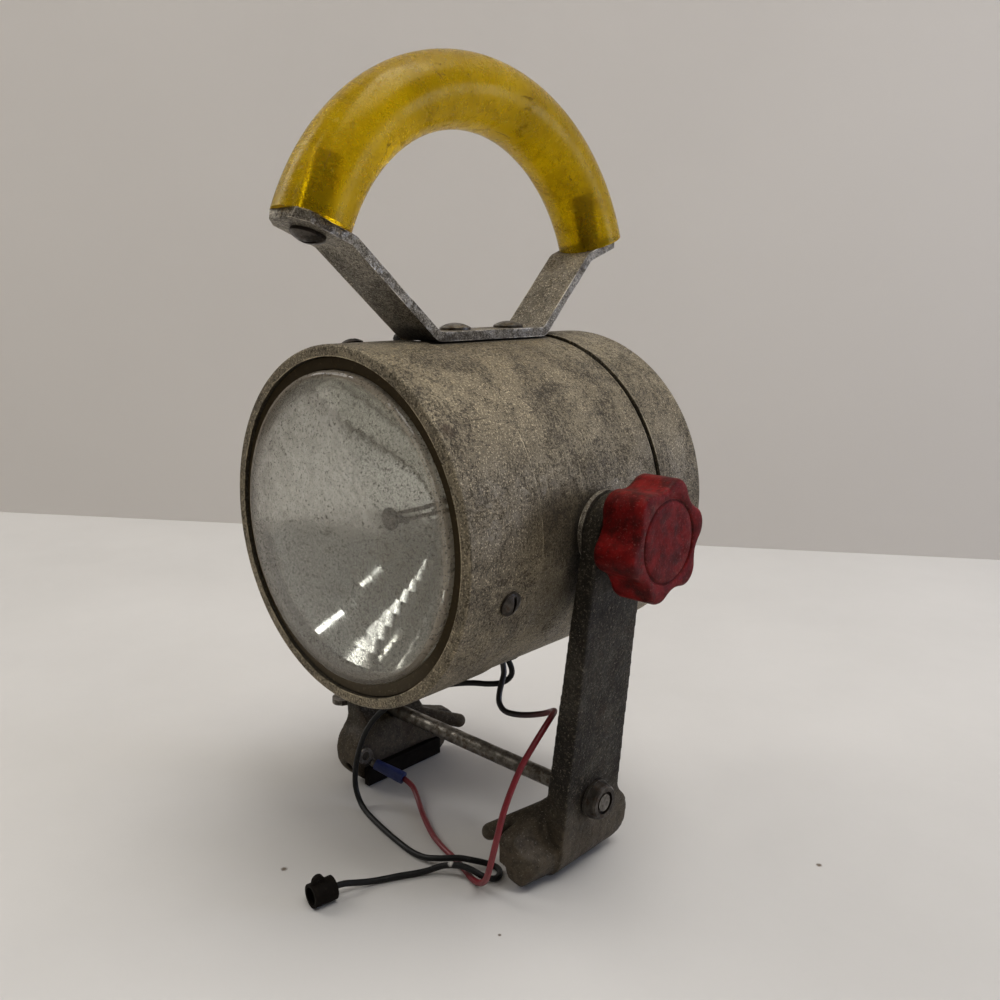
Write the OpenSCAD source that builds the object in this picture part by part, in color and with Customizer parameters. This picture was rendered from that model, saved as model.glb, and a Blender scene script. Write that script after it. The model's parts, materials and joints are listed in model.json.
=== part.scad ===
/* [Drum] */
// Outer radius of the drum between its two ends
drum_r = 59.4; // [56:0.1:64]
// Wall of the drum
drum_wall = 3; // [2:0.1:4]
// Front edge of the drum, forward of the pivot
drum_front = 52; // [46:0.5:60]
// Rear end of the drum's full-size part, behind the pivot
drum_rear = 35; // [30:0.5:45]
// Length of the rear spigot that carries the cap
spigot_len = 15; // [10:0.5:20]
// How far the front end is turned down under the bezel
front_step = 1.5; // [1:0.1:2]
// How far the rear spigot is turned down under the cap
spigot_step = 1; // [0.6:0.1:1.5]

/* [Bezel] */
// Rear edge of the bezel ring, forward of the pivot
bezel_back = 28; // [20:0.5:34]
// Wall of the bezel ring
bezel_wall = 2; // [1.5:0.1:3]
// How far the bezel's front lip reaches over the lamp's flange
lip_hold = 0.9; // [0.7:0.1:2.4]
// Thickness of the front lip
lip_t = 3; // [2:0.1:4]
// Rounding of the bezel's front edge
bezel_round = 1; // [0.5:0.1:2.8]
// Place of the bezel screws, forward of the pivot
bezel_screw_y = 40.8; // [36:0.1:46]
// Direction of the first bezel screw, up from the right side
bezel_screw_angle = 104; // [90:1:110]
// Head radius of a bezel screw
bezel_head_r = 4; // [3:0.05:4.5]
// Head height of a bezel screw
bezel_head_h = 2.2; // [1.2:0.1:3]
// Shank radius of a bezel screw
bezel_shank_r = 2; // [1.5:0.1:2.5]
// Length of a bezel screw's shank
bezel_shank_len = 8; // [7:0.5:12]

/* [Lamp] */
// Gap between the lamp's flange and the bezel
lamp_gap = 0.9; // [0.4:0.1:1.5]
// Gap between the clear dome and the lip around it
lens_gap = 4.4; // [0.8:0.1:5]
// Height of the dome's steep shoulder over the flange
shoulder_h = 4.8; // [3:0.1:6]
// Rounding of the shoulder
shoulder_r = 1.6; // [1:0.1:2]
// How far the dome bulges above its shoulder
lens_bulge = 3.6; // [2:0.1:8]
// Thickness of the glass
glass_t = 2; // [1.5:0.1:2.4]
// Thickness of the reflector's flange
flange_t = 2.3; // [1.8:0.1:3]
// Thickness of the lens's flange
lens_flange_t = 1.9; // [1.5:0.1:2.5]
// Step from the dome's edge in to the rim of the reflector bowl
bowl_step = 3.4; // [2.4:0.1:8]
// Focal length of the reflector
focal = 16.5; // [14:0.5:20]
// Thickness of the reflector
bowl_t = 1.8; // [1.2:0.1:2.2]
// Spacing of the two filament posts
post_gap = 9; // [7:0.5:12]
// Radius of a filament post
post_r = 0.8; // [0.6:0.1:1]
// Radius of the lamp's two terminal screws
terminal_r = 3; // [2.5:0.1:3.6]
// Height of a terminal screw
terminal_h = 5; // [3:0.5:7]

/* [Gasket] */
// Thickness of the rubber between lens and bezel lip
gasket_t = 0.6; // [0.4:0.1:1]
// How far the rubber bead stands in front of that
gasket_bead = 1.6; // [1:0.1:2.2]

/* [Rear cap] */
// Gap between the drum's shoulder and the cap
cap_gap = 1.2; // [1:0.1:2]
// Length of the cap
cap_len = 27.3; // [22:0.5:34]
// Wall of the cap
cap_wall = 1.8; // [1.4:0.1:3]
// Thickness of the cap's end
cap_end_t = 3; // [2:0.1:4]
// Rounding of the cap's rear edge
cap_round = 4; // [2:0.1:4.5]

/* [Strap] */
// Width of the flat bar
strap_w = 19; // [16:0.5:24]
// Thickness of the flat bar
strap_t = 3.2; // [2.5:0.1:4]
// Front end of the flat that lies on the drum, forward of the pivot
strap_front = 22.7; // [18:0.1:26]
// Rear end of that flat, behind the pivot
strap_rear = 31; // [26:0.1:34]
// Bend radius at the middle of the bar
strap_bend = 4; // [2.5:0.5:6]
// Reach of the front tab past the grip's middle
tab_out_front = 10.5; // [8:0.1:12]
// Reach of the front tab inside the grip's middle
tab_in_front = 10.2; // [9:0.1:13]
// Reach of the rear tab past the grip's middle
tab_out_rear = 7; // [6.5:0.1:12]
// Reach of the rear tab inside the grip's middle
tab_in_rear = 13.2; // [10:0.1:15]
// Corner cut of the tabs
tab_clip = 4; // [1:0.5:6]
// Place of the front strap screw, forward of the pivot
strap_screw_front = 6.4; // [4:0.1:12]
// Place of the rear strap screw, behind the pivot
strap_screw_rear = 21; // [16:0.1:24]
// Head radius of a strap screw
strap_head_r = 5.5; // [4:0.1:6]
// Head height of a strap screw
strap_head_h = 2.4; // [1.5:0.1:3]
// Shank radius of a strap screw
strap_shank_r = 2.4; // [2:0.1:3]

/* [Grip] */
// Radius of the grip's arc
grip_arc_r = 72.2; // [66:0.1:80]
// Radius of the grip's round section
grip_r = 12.4; // [10:0.1:14]
// Middle of the arc, behind the pivot
grip_y = 1.3; // [-2:0.1:4]
// Middle of the arc, above the pivot
grip_z = 69.7; // [66:0.1:76]
// Direction of the rear end, up from level
grip_start = 20; // [17:0.5:24]
// Direction of the front end
grip_end = 158.5; // [154:0.5:163]
// Radius of the threaded insert in each end
insert_r = 4.1; // [3.5:0.1:5]
// Length of that insert
insert_len = 20; // [14:0.5:26]
// Head radius of a grip screw
grip_head_r = 5.5; // [4:0.1:6]
// Head height of a grip screw
grip_head_h = 3; // [2:0.1:3.5]
// Shank radius of a grip screw
grip_shank_r = 2.4; // [2:0.1:2.8]

/* [Switch] */
// Direction of the push switch on the drum, up from the right side
switch_angle = 106; // [100:1:112]
// Place of the push switch, forward of the pivot
switch_y = 17; // [16:0.5:22]
// Radius of the switch's threaded neck
switch_neck_r = 3.4; // [3.2:0.1:4.5]
// Radius across the corners of its nut
switch_nut_r = 4.9; // [4.5:0.1:6.5]
// Height of its nut
switch_nut_h = 0.9; // [0.8:0.1:3]
// Radius of the button
button_r = 2.6; // [2:0.1:3]
// Height of the button above the neck
button_h = 2.8; // [2.6:0.1:4]
// Travel of the button
button_travel = 1.6; // [1:0.1:2]

/* [Pivots] */
// Height of the pivot axis above the floor
pivot_z = 125.5; // [121:0.5:135]
// Radius of the pivot studs
stud_r = 3.2; // [2.5:0.1:4]
// Radius of the bosses on the drum's sides
boss_r = 9; // [8:0.1:11]
// How far a boss stands out of the drum
boss_h = 1.7; // [1.5:0.1:2.6]
// Radius of the pivot washers
washer_r = 13; // [10:0.1:13.4]
// Thickness of the pivot washers
washer_t = 1.6; // [1:0.1:2.2]
// Reach of the left stud past its nut
stud_over = 1.3; // [0.5:0.1:5]
// Thickness of the left pivot nut
pivot_nut_t = 5.5; // [4.5:0.5:6]
// Radius across the corners of the left pivot nut
pivot_nut_r = 6.4; // [5.6:0.1:7.5]

/* [Knob] */
// Radius of the knob over its lobes
knob_r = 20; // [17:0.1:22]
// Depth of the hollows between lobes
knob_hollow = 3.4; // [2:0.1:4.5]
// Number of lobes
knob_lobes = 6; // [5:1:8]
// Direction of the first lobe
knob_angle = 12; // [0:1:59]
// Thickness of the knob
knob_t = 15.6; // [12:0.1:18]
// Rounding of the knob's edges
knob_round = 2; // [1:0.1:3]
// Radius of the ring groove in its face
knob_groove_r = 13.2; // [11:0.1:14]
// Radius of the brass insert
knob_insert_r = 5; // [4.5:0.1:6]
// Length of the brass insert
knob_insert_len = 12; // [9:0.5:13]

/* [Legs] */
// Depth of the flat faced into a leg around its pivot
leg_facing = 0.2; // [0.1:0.1:1]
// Lean of the leg, inward toward the foot
leg_lean = 6; // [4.8:0.1:6.2]
// Thickness of the leg at the pivot
leg_t_top = 6.6; // [6:0.1:7]
// Thickness of the leg at the foot
leg_t_foot = 9; // [7:0.1:10]
// Radius of the leg's round top
leg_top_r = 13.35; // [13:0.05:15]
// Half width of the leg above the foot
leg_half_foot = 15; // [13.5:0.1:16]
// Rounding of the outer bottom edge
foot_r = 10; // [5:0.5:11]

/* [Jaws] */
// Distance of a jaw's inner face from the middle
jaw_x = 45.5; // [43:0.1:47]
// Height of a jaw at the leg
jaw_h = 29; // [28:0.5:34]
// Thickness of the jaw's upper wall
web_t = 6; // [5:0.1:7]
// Height of the jaw's bottom flange
jaw_flange_h = 11.5; // [10:0.1:14]
// Radius of the rounded heel
heel_r = 13; // [11:0.1:14]
// Reach of the heel from the leg's middle
heel_y = 22.7; // [22:0.1:27]
// Reach of the toe from the leg's middle
toe_y = 29.5; // [28:0.1:36]
// How far the toe is turned inward
toe_turn = 8.5; // [0:0.5:12]
// Height of the toe's wall at its end
toe_end_z = 20; // [16:0.5:24]
// Tip of the toe's slanting rib from the middle
rib_tip_x = 32.5; // [31:0.1:38]
// Radius of that rib
rib_r = 3; // [2.5:0.1:4]
// Thickness of the rubber pad on a jaw
pad_t = 2.5; // [1.5:0.1:3]
// Height of the rubber pad
pad_h = 7.5; // [5:0.1:9]

/* [Tie rod] */
// Height of the tie rod
rod_z = 28; // [26:0.1:28]
// Radius of the tie rod
rod_r = 3; // [2.5:0.1:3.5]
// How far the rod's right end lies inside the round nut
rod_sunk = 0.2; // [0:0.1:1]
// Reach of the rod's left end past the wing nut's hub
rod_over = 14.9; // [8:0.1:20]
// Radius of the rod's washers
rod_washer_r = 7; // [5:0.1:8]
// Thickness of the rod's washers
rod_washer_t = 1.2; // [0.8:0.1:1.6]
// Radius of the round nut
rod_nut_r = 6.7; // [4.5:0.1:7.5]
// Thickness of the round nut
rod_nut_t = 3.3; // [3:0.1:5]
// Hub radius of the wing nut
wing_hub_r = 5; // [4.5:0.1:6]
// Hub length of the wing nut
wing_hub_len = 9.5; // [8:0.1:11]
// Reach of a wing from the rod
wing_reach = 13; // [10:0.1:15]
// Thickness of a wing
wing_t = 2.4; // [1.6:0.1:3]

/* [Leads] */
// Diameter of each lead over its covering
lead_d = 2.2; // [1.8:0.1:2.4]
// Direction of the lead grommet, out from straight down
grommet_angle = 14; // [10:1:18]
// Place of the grommet, behind the pivot
grommet_y = 3; // [0:0.5:6]
// Radius of the grommet's flanges
grommet_r = 5; // [4.4:0.1:6]
// Thickness of the grommet's outer flange
grommet_t = 1.4; // [1:0.1:2]
// Distance of each lead from the grommet's middle
lead_spread = 1.3; // [1.25:0.05:1.4]
// Radius of the blue barrel
barrel_r = 2.5; // [2:0.1:2.6]
// Radius of the dark end cap
end_cap_r = 4.1; // [3.5:0.1:5]
// Length of the dark end cap
end_cap_len = 8.5; // [7:0.1:11]

/* [Hidden] */

// Middle of the lantern's footprint lies under the origin
pivot_y = -1.7;

fine = 96;
medium = 48;
// Sliding fit of a shank, a sleeve or a rod in its hole
fit = 0.1;
// Gap between a seat and the piece that rests on it
seat = 0.05;
// Running gap between faces that turn on each other
run = 0.15;
slot_w = 1.2;
slot_d = 1;

drum_ir = drum_r - drum_wall;
drum_front_r = drum_r - front_step;
spigot_r = drum_r - spigot_step;
bezel_ir = drum_front_r + fit;
bezel_r = bezel_ir + bezel_wall;
lamp_r = bezel_ir - lamp_gap;
lip_inner_r = lamp_r - lip_hold;
lens_r = lip_inner_r - lens_gap;
bowl_r = lens_r - bowl_step;
lens_seat_y = drum_front + flange_t;
lens_face_y = lens_seat_y + lens_flange_t;
lip_back_y = lens_face_y + gasket_t;
bezel_front_y = lip_back_y + lip_t;
bead_r = lip_inner_r - fit;

bowl_depth = bowl_r * bowl_r / (4 * focal);
bowl_vertex_y = drum_front + flange_t / 2 - bowl_depth;
filament_y = bowl_vertex_y + focal;
neck_len = 6;
lamp_back_y = bowl_vertex_y - neck_len;
neck_r = 14;
terminal_x = 7.5;

cap_front_y = drum_rear + cap_gap;
cap_ir = spigot_r + fit;
cap_r = cap_ir + cap_wall;
cap_rear_y = cap_front_y + cap_len;

strap_base_z = drum_r + seat;
nut_r = 4.6;
nut_t = 3.2;
nut_seat_z = sqrt(drum_ir * drum_ir - nut_r * nut_r) - seat;

switch_body_r = 6.5;
switch_body_len = 16;
switch_top = drum_r + switch_nut_h + 0.4;
switch_seat = sqrt(drum_ir * drum_ir - switch_body_r * switch_body_r) - seat;

grommet_neck_r = 3.6;
grommet_bore_r = lead_spread + lead_d / 2 + fit;
grommet_inner = sqrt(drum_ir * drum_ir - grommet_r * grommet_r) - seat;
grommet_face = drum_r + seat + grommet_t;

leg_slope = tan(leg_lean);
boss_x = drum_r + boss_h;
washer_x = boss_x + run;
leg_face_x = washer_x + washer_t + run;
leg_x = leg_face_x + leg_facing + leg_t_top;
knob_back_x = leg_x + leg_slope * leg_top_r + 0.5;
knob_face_x = knob_back_x + knob_t;
stud_head_t = 4;
stud_head_x = sqrt(drum_ir * drum_ir - boss_r * boss_r) - stud_head_t;
left_stud_x = knob_back_x + pivot_nut_t + stud_over;

// The bottom rounding leaves a narrow flat inside it
foot_flat = 1;
foot_round = min(foot_r, leg_x - pivot_z * leg_slope - jaw_x - foot_flat);
rod_face_x = leg_x - (pivot_z - rod_z - rod_washer_r) * leg_slope + seat;
rod_nut_x = rod_face_x + rod_washer_t + seat;
rod_right = rod_nut_x + rod_nut_t - rod_sunk;
rod_left = rod_nut_x + wing_hub_len + rod_over;
// Underside of a pad above the floor, and how far it runs behind the rod
pad_z = 0.8;
pad_rear = 18;

// A point on the leg's outer face at a height above the floor
function leg_out(z) = leg_x - (pivot_z - z) * leg_slope;
// Thickness of the leg at that height
function leg_t(z) = leg_t_foot + (leg_t_top - leg_t_foot) * (z - jaw_h) / (pivot_z - jaw_h);

function unit(v) = v / norm(v);
function side(d) = [-d[1], d[0]];
function arc(middle, r, from, to, steps) =
    [for (i = [0 : steps]) let (a = from + (to - from) * i / steps) middle + r * [cos(a), sin(a)]];
function turn(v, a) = [v[0] * cos(a) - v[1] * sin(a), v[0] * sin(a) + v[1] * cos(a)];
function flip(list) = [for (i = [len(list) - 1 : -1 : 0]) list[i]];

// Points and normals along a bend at b, on the way from a to c
function bend(a, b, c, r, steps) =
    let (u = unit(b - a), v = unit(c - b))
    let (angle = atan2(u[0] * v[1] - u[1] * v[0], u * v))
    let (way = sign(angle), back = r * tan(abs(angle) / 2))
    let (middle = b - u * back + side(u) * r * way)
    [for (i = [0 : steps]) let (n = turn(side(u), angle * i / steps)) [middle - n * r * way, n]];

// Smooth curve through the points of a route, with more points between them
function curve(p, steps) =
    let (last = len(p) - 1)
    [for (i = [0 : last - 1], s = [0 : steps - 1])
        let (a = p[max(i - 1, 0)], b = p[i], c = p[i + 1], d = p[min(i + 2, last)], t = s / steps)
        0.5 * (2 * b + (c - a) * t + (2 * a - 5 * b + 4 * c - d) * t * t
            + (3 * b - a - 3 * c + d) * t * t * t),
     p[last]];

// Direction of travel at each point of a route
function travel(p) =
    let (last = len(p) - 1)
    [for (i = [0 : last]) unit(p[min(i + 1, last)] - p[max(i - 1, 0)])];

// A side direction carried along the route without twisting
function carried(t) =
    let (first = abs(t[0][2]) > 0.9 ? [1, 0, 0] : [0, 0, 1])
    [for (i = 0, n = unit(cross(cross(t[0], first), t[0])); i < len(t);
        n = i + 1 < len(t) ? unit(n - (n * t[i + 1]) * t[i + 1]) : n, i = i + 1) n];

// Round tube swept along a route
module tube(route, d, sides) {
    t = travel(route);
    n = carried(t);
    rings = len(route);
    points = [for (i = [0 : rings - 1], k = [0 : sides - 1])
        let (a = 360 * k / sides, m = cross(t[i], n[i]))
        route[i] + d / 2 * (cos(a) * n[i] + sin(a) * m)];
    skin = [for (i = [0 : rings - 2], k = [0 : sides - 1], half = [0, 1])
        let (a = i * sides + k, b = i * sides + (k + 1) % sides)
        half == 0 ? [a, a + sides, b] : [b, a + sides, b + sides]];
    front_cap = [for (k = [1 : sides - 2]) [0, k, k + 1]];
    last = (rings - 1) * sides;
    back_cap = [for (k = [1 : sides - 2]) [last, last + k + 1, last + k]];
    polyhedron(points = points, faces = concat(skin, front_cap, back_cap), convexity = 6);
}

// Turning points of the wires inside the drum, measured from the pivot
wire_tag = 2.6;
wire_low = [16, 14, -34];
wire_beside = [16, 18, 0];
wire_high = [6, 8, 22];
wire_under = [12, 7, -30];
wire_behind = [9, 12, -12];
wire_over = [-12, 6, 16];
wire_end = 4;
wire_bend = 10;
wire_drop = 7;

// Routes of the leads, measured from the floor under the pivot axis
red_route = [
    [14.7, 1.7, 66.4], [15.9, 1.2, 62], [16.6, -0.8, 58.6], [17, -2.4, 55.4], [18.4, -4, 52.4],
    [21.4, -4.4, 50.2], [25.8, -3.2, 49.8], [31.4, -1.6, 50.8], [37.4, -0.8, 53], [42.2, -2, 55.8],
    [45.8, -5, 57.8], [47.8, -9.6, 57.4], [48.6, -14.4, 55], [49, -20, 51.2], [49, -25.6, 46.2],
    [49, -30.8, 39.4], [49, -35, 32], [48.8, -37.6, 24.6], [47.6, -38.8, 17], [45.6, -38.6, 10.6],
    [42.8, -37.4, 6], [39, -36, 2.8], [34, -34.6, 1.3], [27.6, -32.2, 1.2], [20, -30, 1.2],
    [12, -28, 1.2], [4, -25.2, 1.2], [-5, -20.6, 1.2], [-13, -16, 1.4], [-19.4, -12.4, 3],
    [-24, -10.8, 5.2], [-28.6, -11.3, 7.1]
];
black_route = [
    [14.7, 4.3, 66.4], [15.9, 5.4, 62.6], [15.6, 5.4, 59.2], [13.6, 3, 56.8], [9.8, -0.6, 56.2],
    [5, -3.8, 56.2], [-0.8, -6, 55], [-7.6, -9, 53], [-14.8, -13, 50], [-22.4, -17.8, 45.6],
    [-29, -22.4, 39.4], [-33.4, -25.6, 31.8], [-36, -27.6, 23.4], [-37.4, -28.8, 15],
    [-37, -29.4, 7.8], [-33.8, -30, 2.8], [-28, -31.6, 1.2], [-19.4, -33.8, 1.2], [-10.6, -35.6, 1.2],
    [-2, -37, 1.2], [6, -37.8, 1.2], [13, -37.6, 1.9], [19, -35.4, 3.1], [24.2, -31.6, 3.8],
    [28, -28, 2.8], [31.6, -25, 1.8], [35.6, -23.6, 1.2], [38.8, -25.6, 1.2], [39.6, -29.2, 1.4],
    [37.4, -32.2, 2.6], [33.6, -33.8, 4.1], [29.4, -35, 4.5], [25.4, -36.6, 3.9], [22, -38.6, 2.8],
    [19.4, -41.8, 1.6], [16.8, -45.8, 1.2], [14, -50.4, 1.2], [11.5, -55.1, 1.2], [9.2, -59.9, 1.5],
    [7.6, -64.6, 2.6], [6.3, -69, 3.8], [5.6, -72.8, 4.2]
];
lead_sides = 8;
barrel_len = 13.3;
barrel_at = [-28.6, -11.3, 7.1];
barrel_way = [-0.9, -0.34, 0.28];
terminal_x_out = jaw_x - pad_t - seat - 0.2;
end_cap_at = [5.6, -72.8, 4.2];
end_cap_turn = 9;

module at_head() {
    translate([0, pivot_y, pivot_z]) children();
}

module at_floor() {
    translate([0, pivot_y, 0]) children();
}

// Turns a profile's own length, its Z, toward the rear
module lengthwise() {
    rotate([-90, 0, 0]) children();
}

// Puts a piece on the drum with its Z pointing outward
module on_drum(angle, y, r) {
    translate([0, y, 0]) rotate([0, 90 - angle, 0]) translate([0, 0, r]) children();
}

// Lays a drawing of the lantern's side view in its own plane
module side_view() {
    rotate([90, 0, 90]) children();
}

// Stands at the middle of a grip end, with Z pointing into the grip
module at_grip_end(angle, tilt) {
    translate([0, grip_y + grip_arc_r * cos(angle), grip_z + grip_arc_r * sin(angle)])
        rotate([tilt, 0, 0]) children();
}

module grip_ends() {
    at_grip_end(grip_start, grip_start) children();
    at_grip_end(grip_end, grip_end - 180) children();
}

module at_strap_screws() {
    for (y = [-strap_screw_front, strap_screw_rear]) translate([0, y, 0]) children();
}

module at_bezel_screws(r) {
    for (i = [0 : 2]) on_drum(bezel_screw_angle + 120 * i, -bezel_screw_y, r) children();
}

// Domed screw head with a slot, standing on its seat
module slotted_head(r, h) {
    rim = h * 0.35;
    dome = h - rim;
    ball = (r * r + dome * dome) / (2 * dome);
    difference() {
        intersection() {
            cylinder(r = r, h = h, $fn = medium);
            translate([0, 0, h - ball]) sphere(r = ball, $fn = medium);
        }
        translate([-r - 1, -slot_w / 2, h - slot_d]) cube([2 * r + 2, slot_w, slot_d + 1]);
    }
}

// Both sides of the lantern, with X pointing outward on each
module both_sides() {
    rotate([0, 90, 0]) children();
    rotate([0, -90, 0]) children();
}

module drum_body() {
    color("silver") at_head() difference() {
        lengthwise() rotate_extrude($fn = fine) polygon([
            [drum_ir, -drum_front], [drum_front_r, -drum_front], [drum_front_r, -bezel_back],
            [drum_r, -bezel_back], [drum_r, drum_rear], [spigot_r, drum_rear],
            [spigot_r, drum_rear + spigot_len], [drum_ir, drum_rear + spigot_len]]);
        at_bezel_screws(drum_ir - 2) cylinder(r = bezel_shank_r + fit, h = drum_wall + 4, $fn = medium);
        at_strap_screws() translate([0, 0, drum_ir - 4])
            cylinder(r = strap_shank_r + fit, h = drum_wall + 8, $fn = medium);
        both_sides() translate([0, 0, drum_ir - 4]) cylinder(r = stud_r + fit, h = drum_wall + 8, $fn = medium);
        on_drum(switch_angle, -switch_y, drum_ir - 4)
            cylinder(r = switch_neck_r + fit, h = drum_wall + 8, $fn = medium);
        on_drum(grommet_angle - 90, grommet_y, drum_ir - 4)
            cylinder(r = grommet_neck_r + fit, h = drum_wall + 8, $fn = medium);
    }
}

module bezel_ring() {
    steps = 6;
    edge = [for (i = [0 : steps]) let (a = 90 * i / steps)
        [bezel_r - bezel_round + bezel_round * cos(a), -bezel_front_y + bezel_round - bezel_round * sin(a)]];
    color("silver") at_head() difference() {
        lengthwise() rotate_extrude($fn = fine) polygon(concat(
            [[bezel_ir, -bezel_back], [bezel_r, -bezel_back]], edge,
            [[lip_inner_r, -bezel_front_y], [lip_inner_r, -lip_back_y], [bezel_ir, -lip_back_y]]));
        at_bezel_screws(bezel_ir - 2) cylinder(r = bezel_shank_r + fit, h = bezel_wall + 4, $fn = medium);
    }
}

module bezel_screws() {
    color("dimgray") at_head() at_bezel_screws(bezel_r) {
        translate([0, 0, seat]) slotted_head(bezel_head_r, bezel_head_h);
        translate([0, 0, seat - bezel_shank_len])
            cylinder(r = bezel_shank_r, h = bezel_shank_len + bezel_head_h / 4, $fn = medium);
    }
}

module lens_gasket() {
    bead_y = lip_back_y + gasket_bead;
    color("black") at_head() lengthwise() rotate_extrude($fn = fine) polygon([
        [lens_r + fit, -lens_face_y], [lamp_r, -lens_face_y], [lamp_r, -lip_back_y],
        [bead_r, -lip_back_y], [bead_r, -bead_y + 0.5], [bead_r - 0.3, -bead_y],
        [lens_r + fit + 0.3, -bead_y], [lens_r + fit, -bead_y + 0.5]]);
}

module lamp_lens() {
    steps = 10;
    shoulder_y = lens_face_y + shoulder_h;
    top_y = shoulder_y + lens_bulge;
    edge_r = lens_r - shoulder_r;
    inner_r = lens_r - glass_t;
    ball = (edge_r * edge_r + lens_bulge * lens_bulge) / (2 * lens_bulge);
    outer = [for (i = [1 : steps]) let (a = asin(edge_r / ball) * (1 - i / steps))
        [ball * sin(a), ball * (1 - cos(a)) - top_y]];
    inner = [for (i = [0 : steps]) let (a = asin(inner_r / ball) * i / steps)
        [ball * sin(a), ball * (1 - cos(a)) - top_y + glass_t]];
    color("whitesmoke", 0.5) at_head() lengthwise() rotate_extrude($fn = fine) polygon(concat(
        [[lamp_r, -lens_seat_y], [lamp_r, -lens_face_y], [lens_r, -lens_face_y]],
        arc([edge_r, shoulder_r - shoulder_y], shoulder_r, 0, -90, 5), outer, inner,
        [[inner_r, -lens_seat_y]]));
}

module lamp_reflector() {
    steps = 14;
    inner = [for (i = [0 : steps]) let (r = bowl_r * i / steps) [r, -bowl_vertex_y - r * r / (4 * focal)]];
    outer = [for (i = [steps : -1 : 4])
        let (r = bowl_r * i / steps, n = unit([1, r / (2 * focal)]))
        [r, -bowl_vertex_y - r * r / (4 * focal)] + bowl_t * [n[1], n[0]]];
    color("lightgray") at_head() difference() {
        lengthwise() rotate_extrude($fn = fine) polygon(concat(inner,
            [[bowl_r, -lens_seat_y], [lamp_r, -lens_seat_y], [lamp_r, -drum_front - seat],
             [bowl_r + bowl_t, -drum_front - seat]], outer,
            [[neck_r, -lamp_back_y - 4], [neck_r, -lamp_back_y], [0, -lamp_back_y]]));
        for (s = [-1, 1]) translate([s * post_gap / 2, -bowl_vertex_y - neck_len, 0]) lengthwise()
            cylinder(r = post_r + fit, h = 3 * neck_len, $fn = medium);
    }
}

module filament_posts() {
    color("dimgray") at_head() for (s = [-1, 1])
        translate([s * post_gap / 2, -filament_y, 0]) lengthwise()
            cylinder(r = post_r, h = filament_y - lamp_back_y - seat, $fn = medium);
}

module lamp_filament() {
    color("gray") at_head() {
        translate([-post_gap / 2 - 1.5, -filament_y - 2 - seat, -1])
            cube([post_gap + 3, 2, 2]);
        translate([0, -filament_y - 3 - seat, 0]) rotate([90, 0, 0]) cylinder(r = 4, h = 0.8, $fn = medium);
        translate([0, -filament_y - 2 - seat, 0]) rotate([90, 0, 0]) cylinder(r = 1, h = 1.2, $fn = medium);
    }
}

module lamp_terminals() {
    color("goldenrod") at_head() for (s = [-1, 1])
        translate([s * terminal_x, -lamp_back_y + seat, 0]) lengthwise() {
            cylinder(r = terminal_r, h = 1.2, $fn = medium);
            cylinder(r = terminal_r * 0.6, h = terminal_h, $fn = medium);
            translate([0, 0, terminal_h - 1.8]) cylinder(r = terminal_r, h = 1.8, $fn = medium);
        }
}

module rear_cap() {
    steps = 6;
    edge = [for (i = [0 : steps]) let (a = 90 * i / steps)
        [cap_r - cap_round + cap_round * cos(a), cap_rear_y - cap_round + cap_round * sin(a)]];
    inner_round = max(cap_round - cap_wall, 0.5);
    inner_edge = [for (i = [0 : steps]) let (a = 90 - 90 * i / steps)
        [cap_ir - inner_round + inner_round * cos(a), cap_rear_y - cap_end_t - inner_round + inner_round * sin(a)]];
    color("silver") at_head() lengthwise() rotate_extrude($fn = fine) polygon(concat(
        [[cap_ir, cap_front_y], [cap_r, cap_front_y]], edge,
        [[0, cap_rear_y], [0, cap_rear_y - cap_end_t]], inner_edge));
}

module cap_seal() {
    color("black") at_head() lengthwise() rotate_extrude($fn = fine) polygon([
        [spigot_r + seat, drum_rear + seat], [spigot_r + 0.8, drum_rear + seat],
        [spigot_r + 0.8, cap_front_y - seat], [spigot_r + seat, cap_front_y - seat]]);
}

// Middle of a tab, at a distance along it from the grip's middle
function tab_point(angle, into, along) =
    [grip_y, grip_z] + (grip_arc_r + along) * [cos(angle), sin(angle)] - strap_t / 2 * into;

module strap_outline() {
    steps = 5;
    front_in = [sin(grip_end), -cos(grip_end)];
    rear_in = [-sin(grip_start), cos(grip_start)];
    middle_z = strap_base_z + strap_t / 2;
    way = [
        tab_point(grip_end, front_in, tab_out_front), tab_point(grip_end, front_in, -tab_in_front),
        [-strap_front, middle_z], [strap_rear, middle_z],
        tab_point(grip_start, rear_in, -tab_in_rear), tab_point(grip_start, rear_in, tab_out_rear)];
    last = len(way) - 1;
    line = concat(
        [[way[0], side(unit(way[1] - way[0]))]],
        [for (i = [1 : last - 1]) each bend(way[i - 1], way[i], way[i + 1], strap_bend, steps)],
        [[way[last], side(unit(way[last] - way[last - 1]))]]);
    polygon(concat(
        [for (s = line) s[0] + s[1] * strap_t / 2], flip([for (s = line) s[0] - s[1] * strap_t / 2])));
}

module handle_strap() {
    front = grip_y + (grip_arc_r + tab_out_front) * cos(grip_end) - strap_t * sin(grip_end);
    rear = grip_y + (grip_arc_r + tab_out_rear) * cos(grip_start) + strap_t * sin(grip_start);
    half = strap_w / 2;
    color("silver") at_head() difference() {
        intersection() {
            side_view() translate([0, 0, -half]) linear_extrude(strap_w) strap_outline();
            linear_extrude(grip_z + grip_arc_r) polygon([
                [-half, front + tab_clip], [tab_clip - half, front], [half - tab_clip, front],
                [half, front + tab_clip], [half, rear - tab_clip], [half - tab_clip, rear],
                [tab_clip - half, rear], [-half, rear - tab_clip]]);
        }
        at_strap_screws() translate([0, 0, strap_base_z - 1])
            cylinder(r = strap_shank_r + fit, h = strap_t + 2, $fn = medium);
        grip_ends() translate([0, 0, -strap_t - 1]) cylinder(r = grip_shank_r + fit, h = strap_t + 2, $fn = medium);
    }
}

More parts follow.
